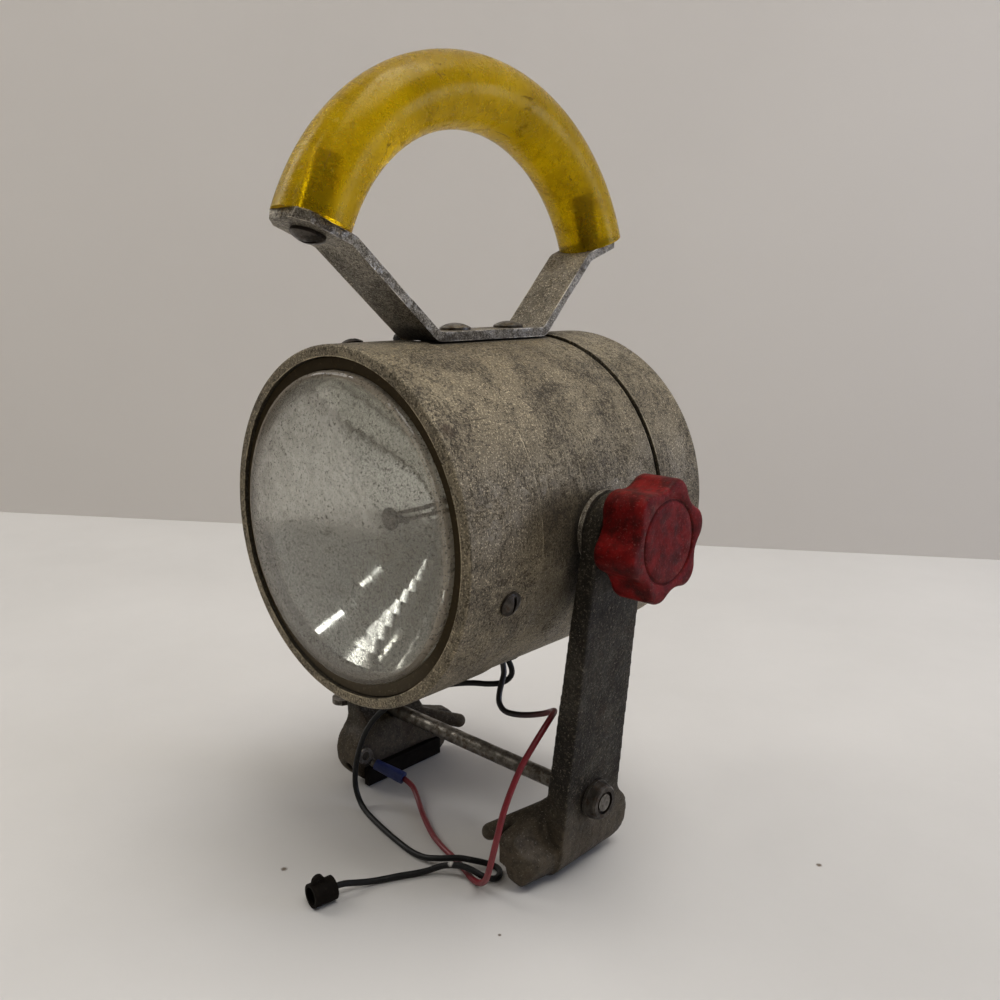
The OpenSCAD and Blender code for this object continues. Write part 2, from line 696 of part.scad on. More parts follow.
module strap_screws() {
    top = strap_base_z + strap_t + seat;
    bottom = nut_seat_z - nut_t - 1.5;
    color("gray") at_head() at_strap_screws() {
        translate([0, 0, top]) rotate([0, 0, 65]) slotted_head(strap_head_r, strap_head_h);
        translate([0, 0, bottom]) cylinder(r = strap_shank_r, h = top - bottom + strap_head_h / 4, $fn = medium);
    }
}

module strap_nuts() {
    color("gray") at_head() at_strap_screws() translate([0, 0, nut_seat_z - nut_t]) difference() {
        cylinder(r = nut_r, h = nut_t, $fn = 6);
        translate([0, 0, -1]) cylinder(r = strap_shank_r + seat, h = nut_t + 2, $fn = medium);
    }
}

module handle_grip() {
    color("gold", 0.8) at_head() difference() {
        translate([0, grip_y, grip_z]) side_view() rotate([0, 0, grip_start])
            rotate_extrude(angle = grip_end - grip_start, $fn = fine)
                translate([grip_arc_r, 0]) circle(r = grip_r, $fn = medium);
        grip_ends() translate([0, 0, -1]) cylinder(r = insert_r + seat, h = insert_len + 1.5, $fn = medium);
    }
}

module grip_inserts() {
    color("dimgray") at_head() grip_ends() difference() {
        translate([0, 0, seat]) cylinder(r = insert_r, h = insert_len, $fn = medium);
        translate([0, 0, -1]) cylinder(r = grip_shank_r + seat, h = insert_len - 2, $fn = medium);
    }
}

module grip_screws() {
    color("dimgray") at_head() grip_ends() translate([0, 0, -strap_t - seat]) {
        mirror([0, 0, 1]) rotate([0, 0, 25]) slotted_head(grip_head_r, grip_head_h);
        translate([0, 0, -grip_head_h / 4])
            cylinder(r = grip_shank_r, h = strap_t + insert_len - 5 + grip_head_h / 4, $fn = medium);
    }
}

module at_switch() {
    at_head() on_drum(switch_angle, -switch_y, 0) children();
}

module switch_body() {
    color("dimgray") at_switch() difference() {
        union() {
            translate([0, 0, switch_seat - switch_body_len])
                cylinder(r = switch_body_r, h = switch_body_len, $fn = medium);
            translate([0, 0, switch_seat - 1])
                cylinder(r = switch_neck_r, h = switch_top - switch_seat + 1, $fn = medium);
        }
        translate([0, 0, switch_top - button_h - button_travel - 3])
            cylinder(r = button_r + fit, h = button_h + button_travel + 4, $fn = medium);
    }
}

module switch_nut() {
    color("silver") at_switch() translate([0, 0, drum_r + seat]) difference() {
        cylinder(r = switch_nut_r, h = switch_nut_h, $fn = 6);
        translate([0, 0, -1]) cylinder(r = switch_neck_r + seat, h = switch_nut_h + 2, $fn = medium);
    }
}

module switch_button() {
    color("black") at_switch() translate([0, 0, switch_top - button_h]) {
        cylinder(r = button_r, h = 2 * button_h - 1, $fn = medium);
        translate([0, 0, 2 * button_h - 1]) cylinder(r1 = button_r, r2 = button_r - 0.6, h = 1, $fn = medium);
    }
}

module pivot_bosses() {
    color("gray") at_head() both_sides() difference() {
        translate([0, 0, drum_ir]) cylinder(r = boss_r, h = boss_x - drum_ir, $fn = fine);
        rotate([90, 0, 0]) translate([0, 0, -1.5 * boss_r])
            cylinder(r = drum_r + seat, h = 3 * boss_r, $fn = 3 * fine);
        translate([0, 0, drum_ir]) cylinder(r = stud_r + fit, h = 2 * (boss_x - drum_ir), $fn = medium);
    }
}

module pivot_studs() {
    hex_r = 2 * stud_r;
    tip_gap = 1;
    right_len = knob_back_x + knob_insert_len - tip_gap - stud_head_x;
    color("silver") at_head() {
        rotate([0, 90, 0]) translate([0, 0, stud_head_x]) {
            cylinder(r = stud_r, h = right_len, $fn = medium);
            cylinder(r = hex_r, h = stud_head_t - seat, $fn = 6);
        }
        rotate([0, -90, 0]) translate([0, 0, stud_head_x]) {
            cylinder(r = stud_r, h = left_stud_x - stud_head_x, $fn = medium);
            cylinder(r = hex_r, h = stud_head_t - seat, $fn = 6);
        }
    }
}

module pivot_washers() {
    color("gainsboro") at_head() both_sides() translate([0, 0, washer_x]) difference() {
        cylinder(r = washer_r, h = washer_t, $fn = fine);
        translate([0, 0, -1]) cylinder(r = stud_r + fit, h = washer_t + 2, $fn = medium);
    }
}

module left_pivot_nut() {
    color("gray") at_head() rotate([0, -90, 0]) translate([0, 0, knob_back_x]) difference() {
        union() {
            cylinder(r = pivot_nut_r + 1.6, h = 1.4, $fn = medium);
            cylinder(r = pivot_nut_r, h = pivot_nut_t, $fn = 6);
        }
        translate([0, 0, -1]) cylinder(r = stud_r + fit / 2, h = pivot_nut_t + 2, $fn = medium);
    }
}

module at_grommet() {
    at_head() on_drum(grommet_angle - 90, grommet_y, 0) children();
}

module lead_grommet() {
    color("black") at_grommet() difference() {
        union() {
            translate([0, 0, drum_r + seat]) cylinder(r = grommet_r, h = grommet_t, $fn = medium);
            translate([0, 0, grommet_inner - grommet_t]) cylinder(r = grommet_r, h = grommet_t, $fn = medium);
            translate([0, 0, grommet_inner - 0.5])
                cylinder(r = grommet_neck_r, h = drum_r - grommet_inner + 1, $fn = medium);
        }
        translate([0, 0, grommet_inner - grommet_t - 1])
            cylinder(r = grommet_bore_r, h = drum_wall + 2 * grommet_t + 4, $fn = medium);
    }
}

// Wires inside the drum, from the grommet and the switch to the lamp, measured from the pivot
module inner_wires() {
    down = [sin(grommet_angle), -cos(grommet_angle)];
    outer = (grommet_face - 0.5) * down;
    neck = (grommet_inner - grommet_t - 1) * down;
    inside = (grommet_inner - grommet_t - wire_end) * down;
    up = [cos(switch_angle), sin(switch_angle)];
    across = wire_tag * [up[1], -up[0]];
    below = (switch_seat - switch_body_len - seat) * up;
    right = [for (back = [wire_bend, wire_end, 0]) below + across - back * up];
    left = [for (back = [wire_bend, wire_end, 0]) below - across - back * up];
    lamp_end = -lamp_back_y + terminal_h + seat + lead_d / 2;
    near_y = grommet_y - lead_spread;
    far_y = grommet_y + lead_spread;
    color("dimgray") at_head() {
        tube(curve(concat(
            [for (p = [outer, neck, inside]) [p[0], far_y, p[1]]], [wire_low, wire_beside, wire_high],
            [for (p = right) [p[0], -switch_y, p[1]]]), 2), lead_d, lead_sides);
        tube(curve(concat(
            [for (p = [outer, neck, inside]) [p[0], near_y, p[1]]], [wire_under, wire_behind],
            [[terminal_x, lamp_end + wire_drop, -3], [terminal_x, lamp_end, 0]]), 2), lead_d, lead_sides);
        tube(curve(concat(
            [[-terminal_x, lamp_end, 0], [-terminal_x, lamp_end + wire_drop, 3], wire_over],
            [for (p = left) [p[0], -switch_y, p[1]]]), 2), lead_d, lead_sides);
    }
}

// Lobed outline of the knob
module knob_outline() {
    count = knob_lobes * 20;
    mean = knob_r - knob_hollow / 2;
    polygon([for (i = [0 : count - 1])
        let (a = 360 * i / count, wave = cos(knob_lobes * a))
        (mean + knob_hollow / 2 * sign(wave) * pow(abs(wave), 0.8)) * [cos(a), sin(a)]]);
}

module clamp_knob() {
    steps = 4;
    back_edge = [for (i = [0 : steps]) let (a = -90 + 90 * i / steps)
        [knob_r + 0.01 - knob_round + knob_round * cos(a), knob_round + knob_round * sin(a)]];
    face_edge = [for (i = [0 : steps]) let (a = 90 * i / steps)
        [knob_r + 0.01 - knob_round + knob_round * cos(a), knob_t - knob_round + knob_round * sin(a)]];
    color("firebrick") at_head() translate([knob_back_x, 0, 0]) side_view() rotate([0, 0, knob_angle])
        difference() {
            intersection() {
                linear_extrude(knob_t) knob_outline();
                rotate_extrude($fn = fine) polygon(concat([[0, 0]], back_edge, face_edge, [[0, knob_t]]));
            }
            translate([0, 0, -1]) cylinder(r = knob_insert_r + seat, h = knob_insert_len + 1.2, $fn = medium);
            translate([0, 0, knob_t - 0.6]) difference() {
                cylinder(r = knob_groove_r + 0.6, h = 2, $fn = fine);
                translate([0, 0, -1]) cylinder(r = knob_groove_r - 0.6, h = 4, $fn = fine);
            }
        }
}

module knob_insert() {
    color("goldenrod") at_head() rotate([0, 90, 0]) translate([0, 0, knob_back_x]) difference() {
        cylinder(r = knob_insert_r, h = knob_insert_len, $fn = medium);
        translate([0, 0, -1]) cylinder(r = stud_r + fit / 2, h = knob_insert_len + 0.8, $fn = medium);
    }
}

// Side view of a leg and its heel, with the front of the lantern toward the left
module leg_side() {
    heel_mid = [heel_y - heel_r, heel_r];
    fillet_r = 8;
    fillet_y = leg_half_foot + fillet_r;
    fillet_mid = [fillet_y, heel_r + sqrt(pow(heel_r + fillet_r, 2) - pow(fillet_y - heel_mid[0], 2))];
    translate([0, pivot_z]) circle(r = leg_top_r, $fn = fine);
    polygon([
        [-leg_top_r, pivot_z], [-leg_half_foot, jaw_h], [-leg_half_foot, 0],
        [heel_mid[0], 0], [heel_mid[0], heel_r], [leg_half_foot, heel_r],
        [leg_half_foot, jaw_h], [leg_top_r, pivot_z]]);
    translate(heel_mid) circle(r = heel_r, $fn = fine);
    difference() {
        polygon([heel_mid, heel_mid + heel_r * unit(fillet_mid - heel_mid), fillet_mid,
            [leg_half_foot, fillet_mid[1]], [leg_half_foot - 4, heel_r]]);
        translate(fillet_mid) circle(r = fillet_r, $fn = fine);
    }
}

module leg_front() {
    top = pivot_z + leg_top_r + 1;
    step_z = jaw_h + 2;
    foot_mid = [leg_out(foot_round) - foot_round / cos(leg_lean), foot_round];
    polygon(concat(
        [[leg_out(top), top]], arc(foot_mid, foot_round, -leg_lean, -90, 8),
        [[jaw_x, 0], [jaw_x, jaw_h - 3], [leg_out(step_z) - leg_t(step_z), step_z],
         [leg_out(pivot_z) - leg_t_top, pivot_z], [leg_out(top) - leg_t_top, top]]));
}

// Jaw ahead of the leg, turned inward: round-edged flange below, coved wall above
module toe() {
    start_y = leg_half_foot / 3;
    length = (toe_y - start_y) / cos(toe_turn);
    wide = leg_out(foot_round) - jaw_x;
    top_z = jaw_h - 1.5;
    nose_r = 9;
    cove_z = jaw_h - 6;
    cove_drop = cove_z - jaw_flange_h;
    cove_wide = wide - web_t;
    cove_r = (cove_wide * cove_wide + cove_drop * cove_drop) / (2 * cove_wide);
    difference() {
        translate([jaw_x, -start_y, 0]) rotate([0, 0, -toe_turn]) intersection() {
            rotate([90, 0, 0]) linear_extrude(length) polygon(concat(
                [[0, 0]], arc([wide - foot_round, foot_round], foot_round, -90, 0, 8),
                arc([web_t + cove_r, cove_z], cove_r, 180 + asin(cove_drop / cove_r), 180, 8),
                [[web_t, top_z], [0, top_z]]));
            linear_extrude(top_z) polygon(concat(
                [[0, 0], [0, -length]], arc([wide - foot_round, foot_round - length], foot_round, -90, 0, 8),
                [[wide, 0]]));
            side_view() linear_extrude(wide) polygon(concat(
                [[0, 0], [0, top_z], [2 - length, toe_end_z], [-length, toe_end_z - 2]],
                arc([nose_r - length, nose_r], nose_r, 180, 270, 6)));
        }
        translate([jaw_x - 6, -toe_y - 1, -1]) cube([6, toe_y + 2, pad_z + pad_h + 1.5]);
    }
}

// Slanting rib inside the toe, with a ball tip
module toe_rib() {
    root_y = 8;
    root_drop = 5;
    tip_drop = 12;
    proud = 0.5;
    root = [jaw_x + rib_r - proud, -root_y, jaw_h - root_drop];
    tip = [rib_tip_x + rib_r, rib_r - toe_y - proud, jaw_h - tip_drop];
    way = tip - root;
    translate(root) {
        sphere(r = rib_r + seat, $fn = medium);
        rotate([0, acos(way[2] / norm(way)), atan2(way[1], way[0])])
            cylinder(r = rib_r, h = norm(way), $fn = medium);
    }
    translate(tip) sphere(r = rib_r + seat, $fn = medium);
}

module leg_casting() {
    hole_depth = 9;
    hole_z = heel_r - 5;
    hole_x = jaw_x + leg_t_foot * 0.6;
    rod_way_x = jaw_x - 1;
    difference() {
        union() {
            intersection() {
                side_view() linear_extrude(leg_x + 4) leg_side();
                rotate([90, 0, 0]) translate([0, 0, -heel_y - 1]) linear_extrude(2 * heel_y + 2) leg_front();
            }
            toe();
            toe_rib();
        }
        translate([0, 0, pivot_z]) rotate([0, 90, 0]) {
            cylinder(r = leg_top_r + 1.2, h = leg_face_x, $fn = fine);
            cylinder(r = stud_r + fit, h = leg_x + 10, $fn = medium);
        }
        translate([rod_way_x, 0, rod_z]) rotate([0, 90, 0])
            cylinder(r = rod_r + fit, h = leg_x, $fn = medium);
        translate([hole_x, heel_y - hole_depth, hole_z]) rotate([-90, 0, 0])
            cylinder(r = 2, h = hole_depth + 1, $fn = medium);
    }
}

module right_leg() {
    color("dimgray") at_floor() leg_casting();
}

module left_leg() {
    color("dimgray") at_floor() rotate([0, 0, 180]) leg_casting();
}

// Both jaws, the left one being the right one turned half round
module both_jaws() {
    at_floor() for (a = [0, 180]) rotate([0, 0, a]) children();
}

module jaw_pads() {
    front = toe_y - 7;
    color("black") both_jaws() translate([jaw_x - pad_t - seat, -front, pad_z])
        cube([pad_t, front + pad_rear, pad_h]);
}

module tie_rod() {
    color("gray") at_floor() translate([-rod_left, 0, rod_z]) rotate([0, 90, 0])
        cylinder(r = rod_r, h = rod_left + rod_right, $fn = medium);
}

module rod_washers() {
    color("silver") at_floor() translate([0, 0, rod_z]) both_sides() translate([0, 0, rod_face_x]) difference() {
        cylinder(r = rod_washer_r, h = rod_washer_t, $fn = medium);
        translate([0, 0, -1]) cylinder(r = rod_r + fit, h = rod_washer_t + 2, $fn = medium);
    }
}

module rod_nut() {
    rim = 0.6;
    color("tan") at_floor() translate([rod_nut_x, 0, rod_z]) rotate([0, 90, 0]) difference() {
        union() {
            cylinder(r1 = rod_nut_r, r2 = rod_nut_r - rim, h = rod_nut_t - rim, $fn = medium);
            translate([0, 0, rod_nut_t - rim])
                cylinder(r1 = rod_nut_r - rim, r2 = rod_nut_r - 2 * rim, h = rim, $fn = medium);
        }
        translate([0, 0, -1]) cylinder(r = rod_r + fit / 2, h = rod_nut_t + 2, $fn = medium);
        translate([0, 0, rod_nut_t - 1]) cylinder(r = rod_r + 1.1, h = 2, $fn = medium);
    }
}

module wing_nut() {
    wing_x = rod_nut_x + wing_hub_len;
    tip_r = 4.5;
    color("gray") at_floor() translate([0, 0, rod_z]) rotate([0, 0, 180]) difference() {
        union() {
            translate([rod_nut_x + run, 0, 0]) rotate([0, 90, 0])
                cylinder(r1 = wing_hub_r + 0.8, r2 = wing_hub_r, h = wing_hub_len, $fn = medium);
            translate([0, 0, -wing_t / 2]) linear_extrude(wing_t) for (s = [-1, 1]) {
                polygon([
                    [rod_nut_x + 3, 0], [wing_x, 0], [wing_x + tip_r - 1.2, s * (wing_reach - tip_r + 0.6)],
                    [wing_x - tip_r + 1, s * (wing_reach - 1.2)], [rod_nut_x + 3, s * wing_hub_r]]);
                translate([wing_x, s * (wing_reach - tip_r)]) circle(r = tip_r, $fn = medium);
            }
        }
        translate([rod_nut_x - 1, 0, 0]) rotate([0, 90, 0])
            cylinder(r = rod_r + fit / 2, h = wing_hub_len + tip_r + 8, $fn = medium);
    }
}

module red_lead() {
    color("firebrick") at_floor() tube(red_route, lead_d, lead_sides);
}

module black_lead() {
    color("black") at_floor() tube(black_route, lead_d, lead_sides);
}

// Stands at the barrel's cord end, with Z along the barrel
module at_barrel() {
    heading = atan2(barrel_way[1], barrel_way[0]);
    rise = acos(barrel_way[2] / norm(barrel_way));
    at_floor() translate(barrel_at) rotate([0, 0, heading]) rotate([0, rise, 0]) children();
}

module lead_barrel() {
    color("navy") at_barrel() translate([0, 0, seat]) {
        cylinder(r = barrel_r, h = 3, $fn = medium);
        translate([0, 0, 3]) cylinder(r1 = barrel_r, r2 = barrel_r * 0.85, h = barrel_len - 3, $fn = medium);
    }
}

// Ring terminal: a short tang on the barrel and a flat eye bent up along the jaw
module lead_terminal() {
    terminal_t = 0.8;
    eye = [-19.8, 15.4];
    eye_r = 3.4;
    foot = [barrel_at[1], barrel_at[2]] + barrel_len * [barrel_way[1], barrel_way[2]];
    along = unit(eye - foot);
    tail = 1.5 * side(along);
    neck = eye - (eye_r - 0.5) * along;
    color("silver") {
        at_barrel() translate([0, 0, barrel_len + 2 * seat]) cylinder(r = 1.5, h = 1.7, $fn = medium);
        at_floor() translate([-terminal_x_out, 0, 0]) side_view() difference() {
            union() {
                linear_extrude(terminal_t) polygon([foot - tail, foot + tail, neck + tail, neck - tail]);
                translate(eye) cylinder(r = eye_r, h = terminal_t, $fn = medium);
            }
            translate([eye[0], eye[1], -1]) cylinder(r = 1.9, h = terminal_t + 2, $fn = medium);
        }
    }
}

module lead_end_cap() {
    cup_r = end_cap_r - 1.1;
    lug_z = end_cap_r + 0.4;
    color("black") at_floor() translate(end_cap_at) rotate([0, 0, -end_cap_turn]) rotate([90, 0, 0])
        translate([0, 0, seat]) difference() {
            union() {
                cylinder(r = end_cap_r, h = end_cap_len, $fn = medium);
                translate([0, lug_z, end_cap_len - 3]) rotate([0, 90, 0]) translate([0, 0, -0.8])
                    cylinder(r = 2.2, h = 1.6, $fn = medium);
            }
            translate([0, 0, end_cap_len - 4]) cylinder(r = cup_r, h = 5, $fn = medium);
            translate([-2, lug_z + 0.6, end_cap_len - 3]) rotate([0, 90, 0]) cylinder(r = 0.7, h = 4, $fn = medium);
        }
}

drum_body();
bezel_ring();
bezel_screws();
lens_gasket();
lamp_lens();
lamp_reflector();
filament_posts();
lamp_filament();
lamp_terminals();
rear_cap();
cap_seal();
handle_strap();
strap_screws();
strap_nuts();
handle_grip();
grip_inserts();
grip_screws();
switch_body();
switch_nut();
switch_button();
pivot_bosses();
pivot_studs();
pivot_washers();
left_pivot_nut();
lead_grommet();
inner_wires();
clamp_knob();
knob_insert();
right_leg();
left_leg();
jaw_pads();
tie_rod();
rod_nut();
rod_washers();
wing_nut();
red_lead();
black_lead();
lead_barrel();
lead_terminal();
lead_end_cap();
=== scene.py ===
"""Railroad hand lantern: the looks of its drum, lamp, handle, bracket and leads."""

import json
import math

import bpy
from bpy.props import FloatProperty, FloatVectorProperty, IntProperty, PointerProperty
from mathutils import Matrix, Vector


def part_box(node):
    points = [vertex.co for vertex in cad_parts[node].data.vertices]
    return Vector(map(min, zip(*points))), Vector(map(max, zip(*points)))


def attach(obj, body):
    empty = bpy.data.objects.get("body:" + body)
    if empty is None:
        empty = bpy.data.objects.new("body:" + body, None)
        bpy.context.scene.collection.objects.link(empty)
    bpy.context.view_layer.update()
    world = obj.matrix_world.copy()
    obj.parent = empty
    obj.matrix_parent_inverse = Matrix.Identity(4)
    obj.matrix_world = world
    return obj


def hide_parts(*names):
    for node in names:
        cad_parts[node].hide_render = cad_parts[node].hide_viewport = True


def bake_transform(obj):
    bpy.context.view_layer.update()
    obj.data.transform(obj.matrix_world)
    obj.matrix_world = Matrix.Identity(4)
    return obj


bl_info = {
    "name": "Railroad lantern",
    "version": (1, 0, 0),
    "blender": (4, 5, 0),
    "location": "View3D > Sidebar > Lantern",
    "description": "Builds the looks of a railroad hand lantern on its packed frame",
    "category": "Object",
}

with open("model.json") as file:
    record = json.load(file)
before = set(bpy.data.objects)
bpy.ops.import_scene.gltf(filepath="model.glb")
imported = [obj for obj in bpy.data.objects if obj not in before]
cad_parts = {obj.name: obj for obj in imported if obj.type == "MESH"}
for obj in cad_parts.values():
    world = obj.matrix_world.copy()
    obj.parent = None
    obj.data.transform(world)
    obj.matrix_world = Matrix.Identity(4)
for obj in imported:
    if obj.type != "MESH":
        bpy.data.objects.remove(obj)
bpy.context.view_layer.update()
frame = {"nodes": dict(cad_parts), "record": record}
SLOTS = {entry["node"]: entry["material_slot"] for entry in frame["record"]["subparts"]}
MATERIALS = {}

# Centrelines of the two leads, in metres, from the grommet to what is on their ends
RED_ROUTE = [
    (0.0147, 0, 0.0664), (0.0159, -0.0005, 0.062), (0.0166, -0.0025, 0.0586), (0.017, -0.0041, 0.0554),
    (0.0184, -0.0057, 0.0524), (0.0214, -0.0061, 0.0502), (0.0258, -0.0049, 0.0498),
    (0.0314, -0.0033, 0.0508), (0.0374, -0.0025, 0.053), (0.0422, -0.0037, 0.0558),
    (0.0458, -0.0067, 0.0578), (0.0478, -0.0113, 0.0574), (0.0486, -0.0161, 0.055),
    (0.049, -0.0217, 0.0512), (0.049, -0.0273, 0.0462), (0.049, -0.0325, 0.0394),
    (0.049, -0.0367, 0.032), (0.0488, -0.0393, 0.0246), (0.0476, -0.0405, 0.017),
    (0.0456, -0.0403, 0.0106), (0.0428, -0.0391, 0.006), (0.039, -0.0377, 0.0028),
    (0.034, -0.0363, 0.0013), (0.0276, -0.0339, 0.0012), (0.02, -0.0317, 0.0012),
    (0.012, -0.0297, 0.0012), (0.004, -0.0269, 0.0012), (-0.005, -0.0223, 0.0012),
    (-0.013, -0.0177, 0.0014), (-0.0194, -0.0141, 0.003), (-0.024, -0.0125, 0.0052),
    (-0.0286, -0.013, 0.0071),
]
BLACK_ROUTE = [
    (0.0147, 0.0026, 0.0664), (0.0159, 0.0037, 0.0626), (0.0156, 0.0037, 0.0592),
    (0.0136, 0.0013, 0.0568), (0.0098, -0.0023, 0.0562), (0.005, -0.0055, 0.0562),
    (-0.0008, -0.0077, 0.055), (-0.0076, -0.0107, 0.053), (-0.0148, -0.0147, 0.05),
    (-0.0224, -0.0195, 0.0456), (-0.029, -0.0241, 0.0394), (-0.0334, -0.0273, 0.0318),
    (-0.036, -0.0293, 0.0234), (-0.0374, -0.0305, 0.015), (-0.037, -0.0311, 0.0078),
    (-0.0338, -0.0317, 0.0028), (-0.028, -0.0333, 0.0012), (-0.0194, -0.0355, 0.0012),
    (-0.0106, -0.0373, 0.0012), (-0.002, -0.0387, 0.0012), (0.006, -0.0395, 0.0012),
    (0.013, -0.0393, 0.0019), (0.019, -0.0371, 0.0031), (0.0242, -0.0333, 0.0038),
    (0.028, -0.0297, 0.0028), (0.0316, -0.0267, 0.0018), (0.0356, -0.0253, 0.0012),
    (0.0388, -0.0273, 0.0012), (0.0396, -0.0309, 0.0014), (0.0374, -0.0339, 0.0026),
    (0.0336, -0.0355, 0.0041), (0.0294, -0.0367, 0.0045), (0.0254, -0.0383, 0.0039),
    (0.022, -0.0403, 0.0028), (0.0194, -0.0435, 0.0016), (0.0168, -0.0475, 0.0012),
    (0.014, -0.0521, 0.0012), (0.0115, -0.0568, 0.0012), (0.0092, -0.0616, 0.0015),
    (0.0076, -0.0663, 0.0026), (0.0063, -0.0707, 0.0038), (0.0056, -0.0745, 0.0042),
]
LEAD_D = 0.0022
# Points of the drawn line to each point of a route
ROUTE_STEPS = 3
# Tilt axis of the head, and the radius of the drum
AXIS = Vector((0, -0.0017, 0.1255))
DRUM_R = 0.06

# Marks on the drum: place, size, share of the colour, colour. The first is a brown stain on the bezel; the
# other two are painted shade, dark patches in the gap between the drum and the right leg
DRUM_STAIN_AND_SHADE_MARKS = (
    ((0.0472, -0.0576, 0.1626), 0.004, 0.9, (0.045, 0.024, 0.012)),
    ((0.0591, -0.0208, 0.1314), 0.016, 0.7, (0.035, 0.024, 0.015)),
    ((0.0558, -0.0239, 0.1052), 0.022, 0.6, (0.04, 0.028, 0.018)),
)
# Marks of another colour: place, size, share of the size that is fully covered, colour.
# Brown rubber round the glass with a paler foot, the red lead darker near the grommet, a pale spot on the
# black lead
RUBBER_MARKS = (
    ((0.0, -0.06, AXIS.z), 0.064, 0.98, (0.045, 0.032, 0.016)),
    ((0.0, -0.06, AXIS.z - 0.05), 0.055, 0.5, (0.09, 0.072, 0.048)),
)
RED_MARKS = (((0.014, 0.0, 0.062), 0.036, 0.45, (0.012, 0.01, 0.01)),)
BLACK_MARKS = (((0.0255, -0.0383, 0.0045), 0.0014, 0.6, (0.6, 0.58, 0.55)),)

# Modelled edges shallower than this many degrees aren't rounded
EDGE_ANGLE = 35.0

# Knob: radius over its lobes, radius of the hole in its back, points to a lobe, turn of its first lobe
KNOB_R = 0.02
KNOB_HOLE_R = 0.00505
LOBE_POINTS = 32
KNOB_LEAN = math.radians(12)
# Rings of its side: distance from the back, then from the face, and inset from the outline
BACK_RINGS = ((0.0, 0.003), (0.00025, 0.0016), (0.001, 0.0005), (0.0022, 0.0))
FACE_RINGS = ((0.0016, 0.0), (0.0009, 0.00015), (0.0004, 0.00045), (0.0001, 0.0009), (0.0, 0.0015))
# Ring groove in its face, and how far the face's middle lies below its rim
GROOVE_OUT = 0.0139
GROOVE_IN = 0.0127
FACE_SINK = 0.0004

# Camera solved from the photograph: its place, and its directions to the right, up and back
CAMERA_AT = (0.24455, -0.2452, 0.20209)
CAMERA_AXES = ((0.72865, 0.68488, -0.00331), (-0.14543, 0.15944, 0.97644), (0.66927, -0.711, 0.21578))
SENSOR_MM = 36.0

FLOOR_HALF = 3
# Crumbs on the floor: place and size
CRUMBS = (
    ((-0.0208, -0.0765, 0.0), 0.0016), ((0.1178, 0.0557, 0.0), 0.0014), ((0.06, -0.05, 0.0), 0.0008),
)
# Two points of the line where the wall meets the floor, how far the wall goes on past them, its height
WALL_FOOT = (Vector((-0.6922, 0.0676, 0)), Vector((0.0427, 0.5227, 0)))
WALL_REACH = 3
WALL_HIGH = 3

# Broad lights: place, aim, size, colour
LIGHTS = {
    "top_light": ((0.3, 0.4, 1.8), (0, 0.05, 0), (1.6, 1.2), (1, 0.98, 0.95)),
    "window_light": ((1.0, 0.9, 0.32), (0, 0, 0.13), (0.6, 0.5), (0.56, 0.67, 1)),
    "wall_light": ((-1.5, -0.6, 1.2), (-0.7, 0.25, 0.3), (0.9, 0.9), (1, 0.97, 0.93)),
}
# Small ceiling lamps ahead of the lantern, whose glints show in the bowl
LAMPS = {"lamp_near": (-0.2, -1.0, 2.0), "lamp_left": (-1.4, -0.55, 2.0), "lamp_far": (-0.1, -1.9, 2.0)}
LAMP_AIM = (0, 0, 0.12)
LAMP_SIZE = (0.16, 0.3)
LAMP_COLOUR = (1, 0.98, 0.95)
ROOM_COLOUR = (0.8, 0.76, 0.7, 1)


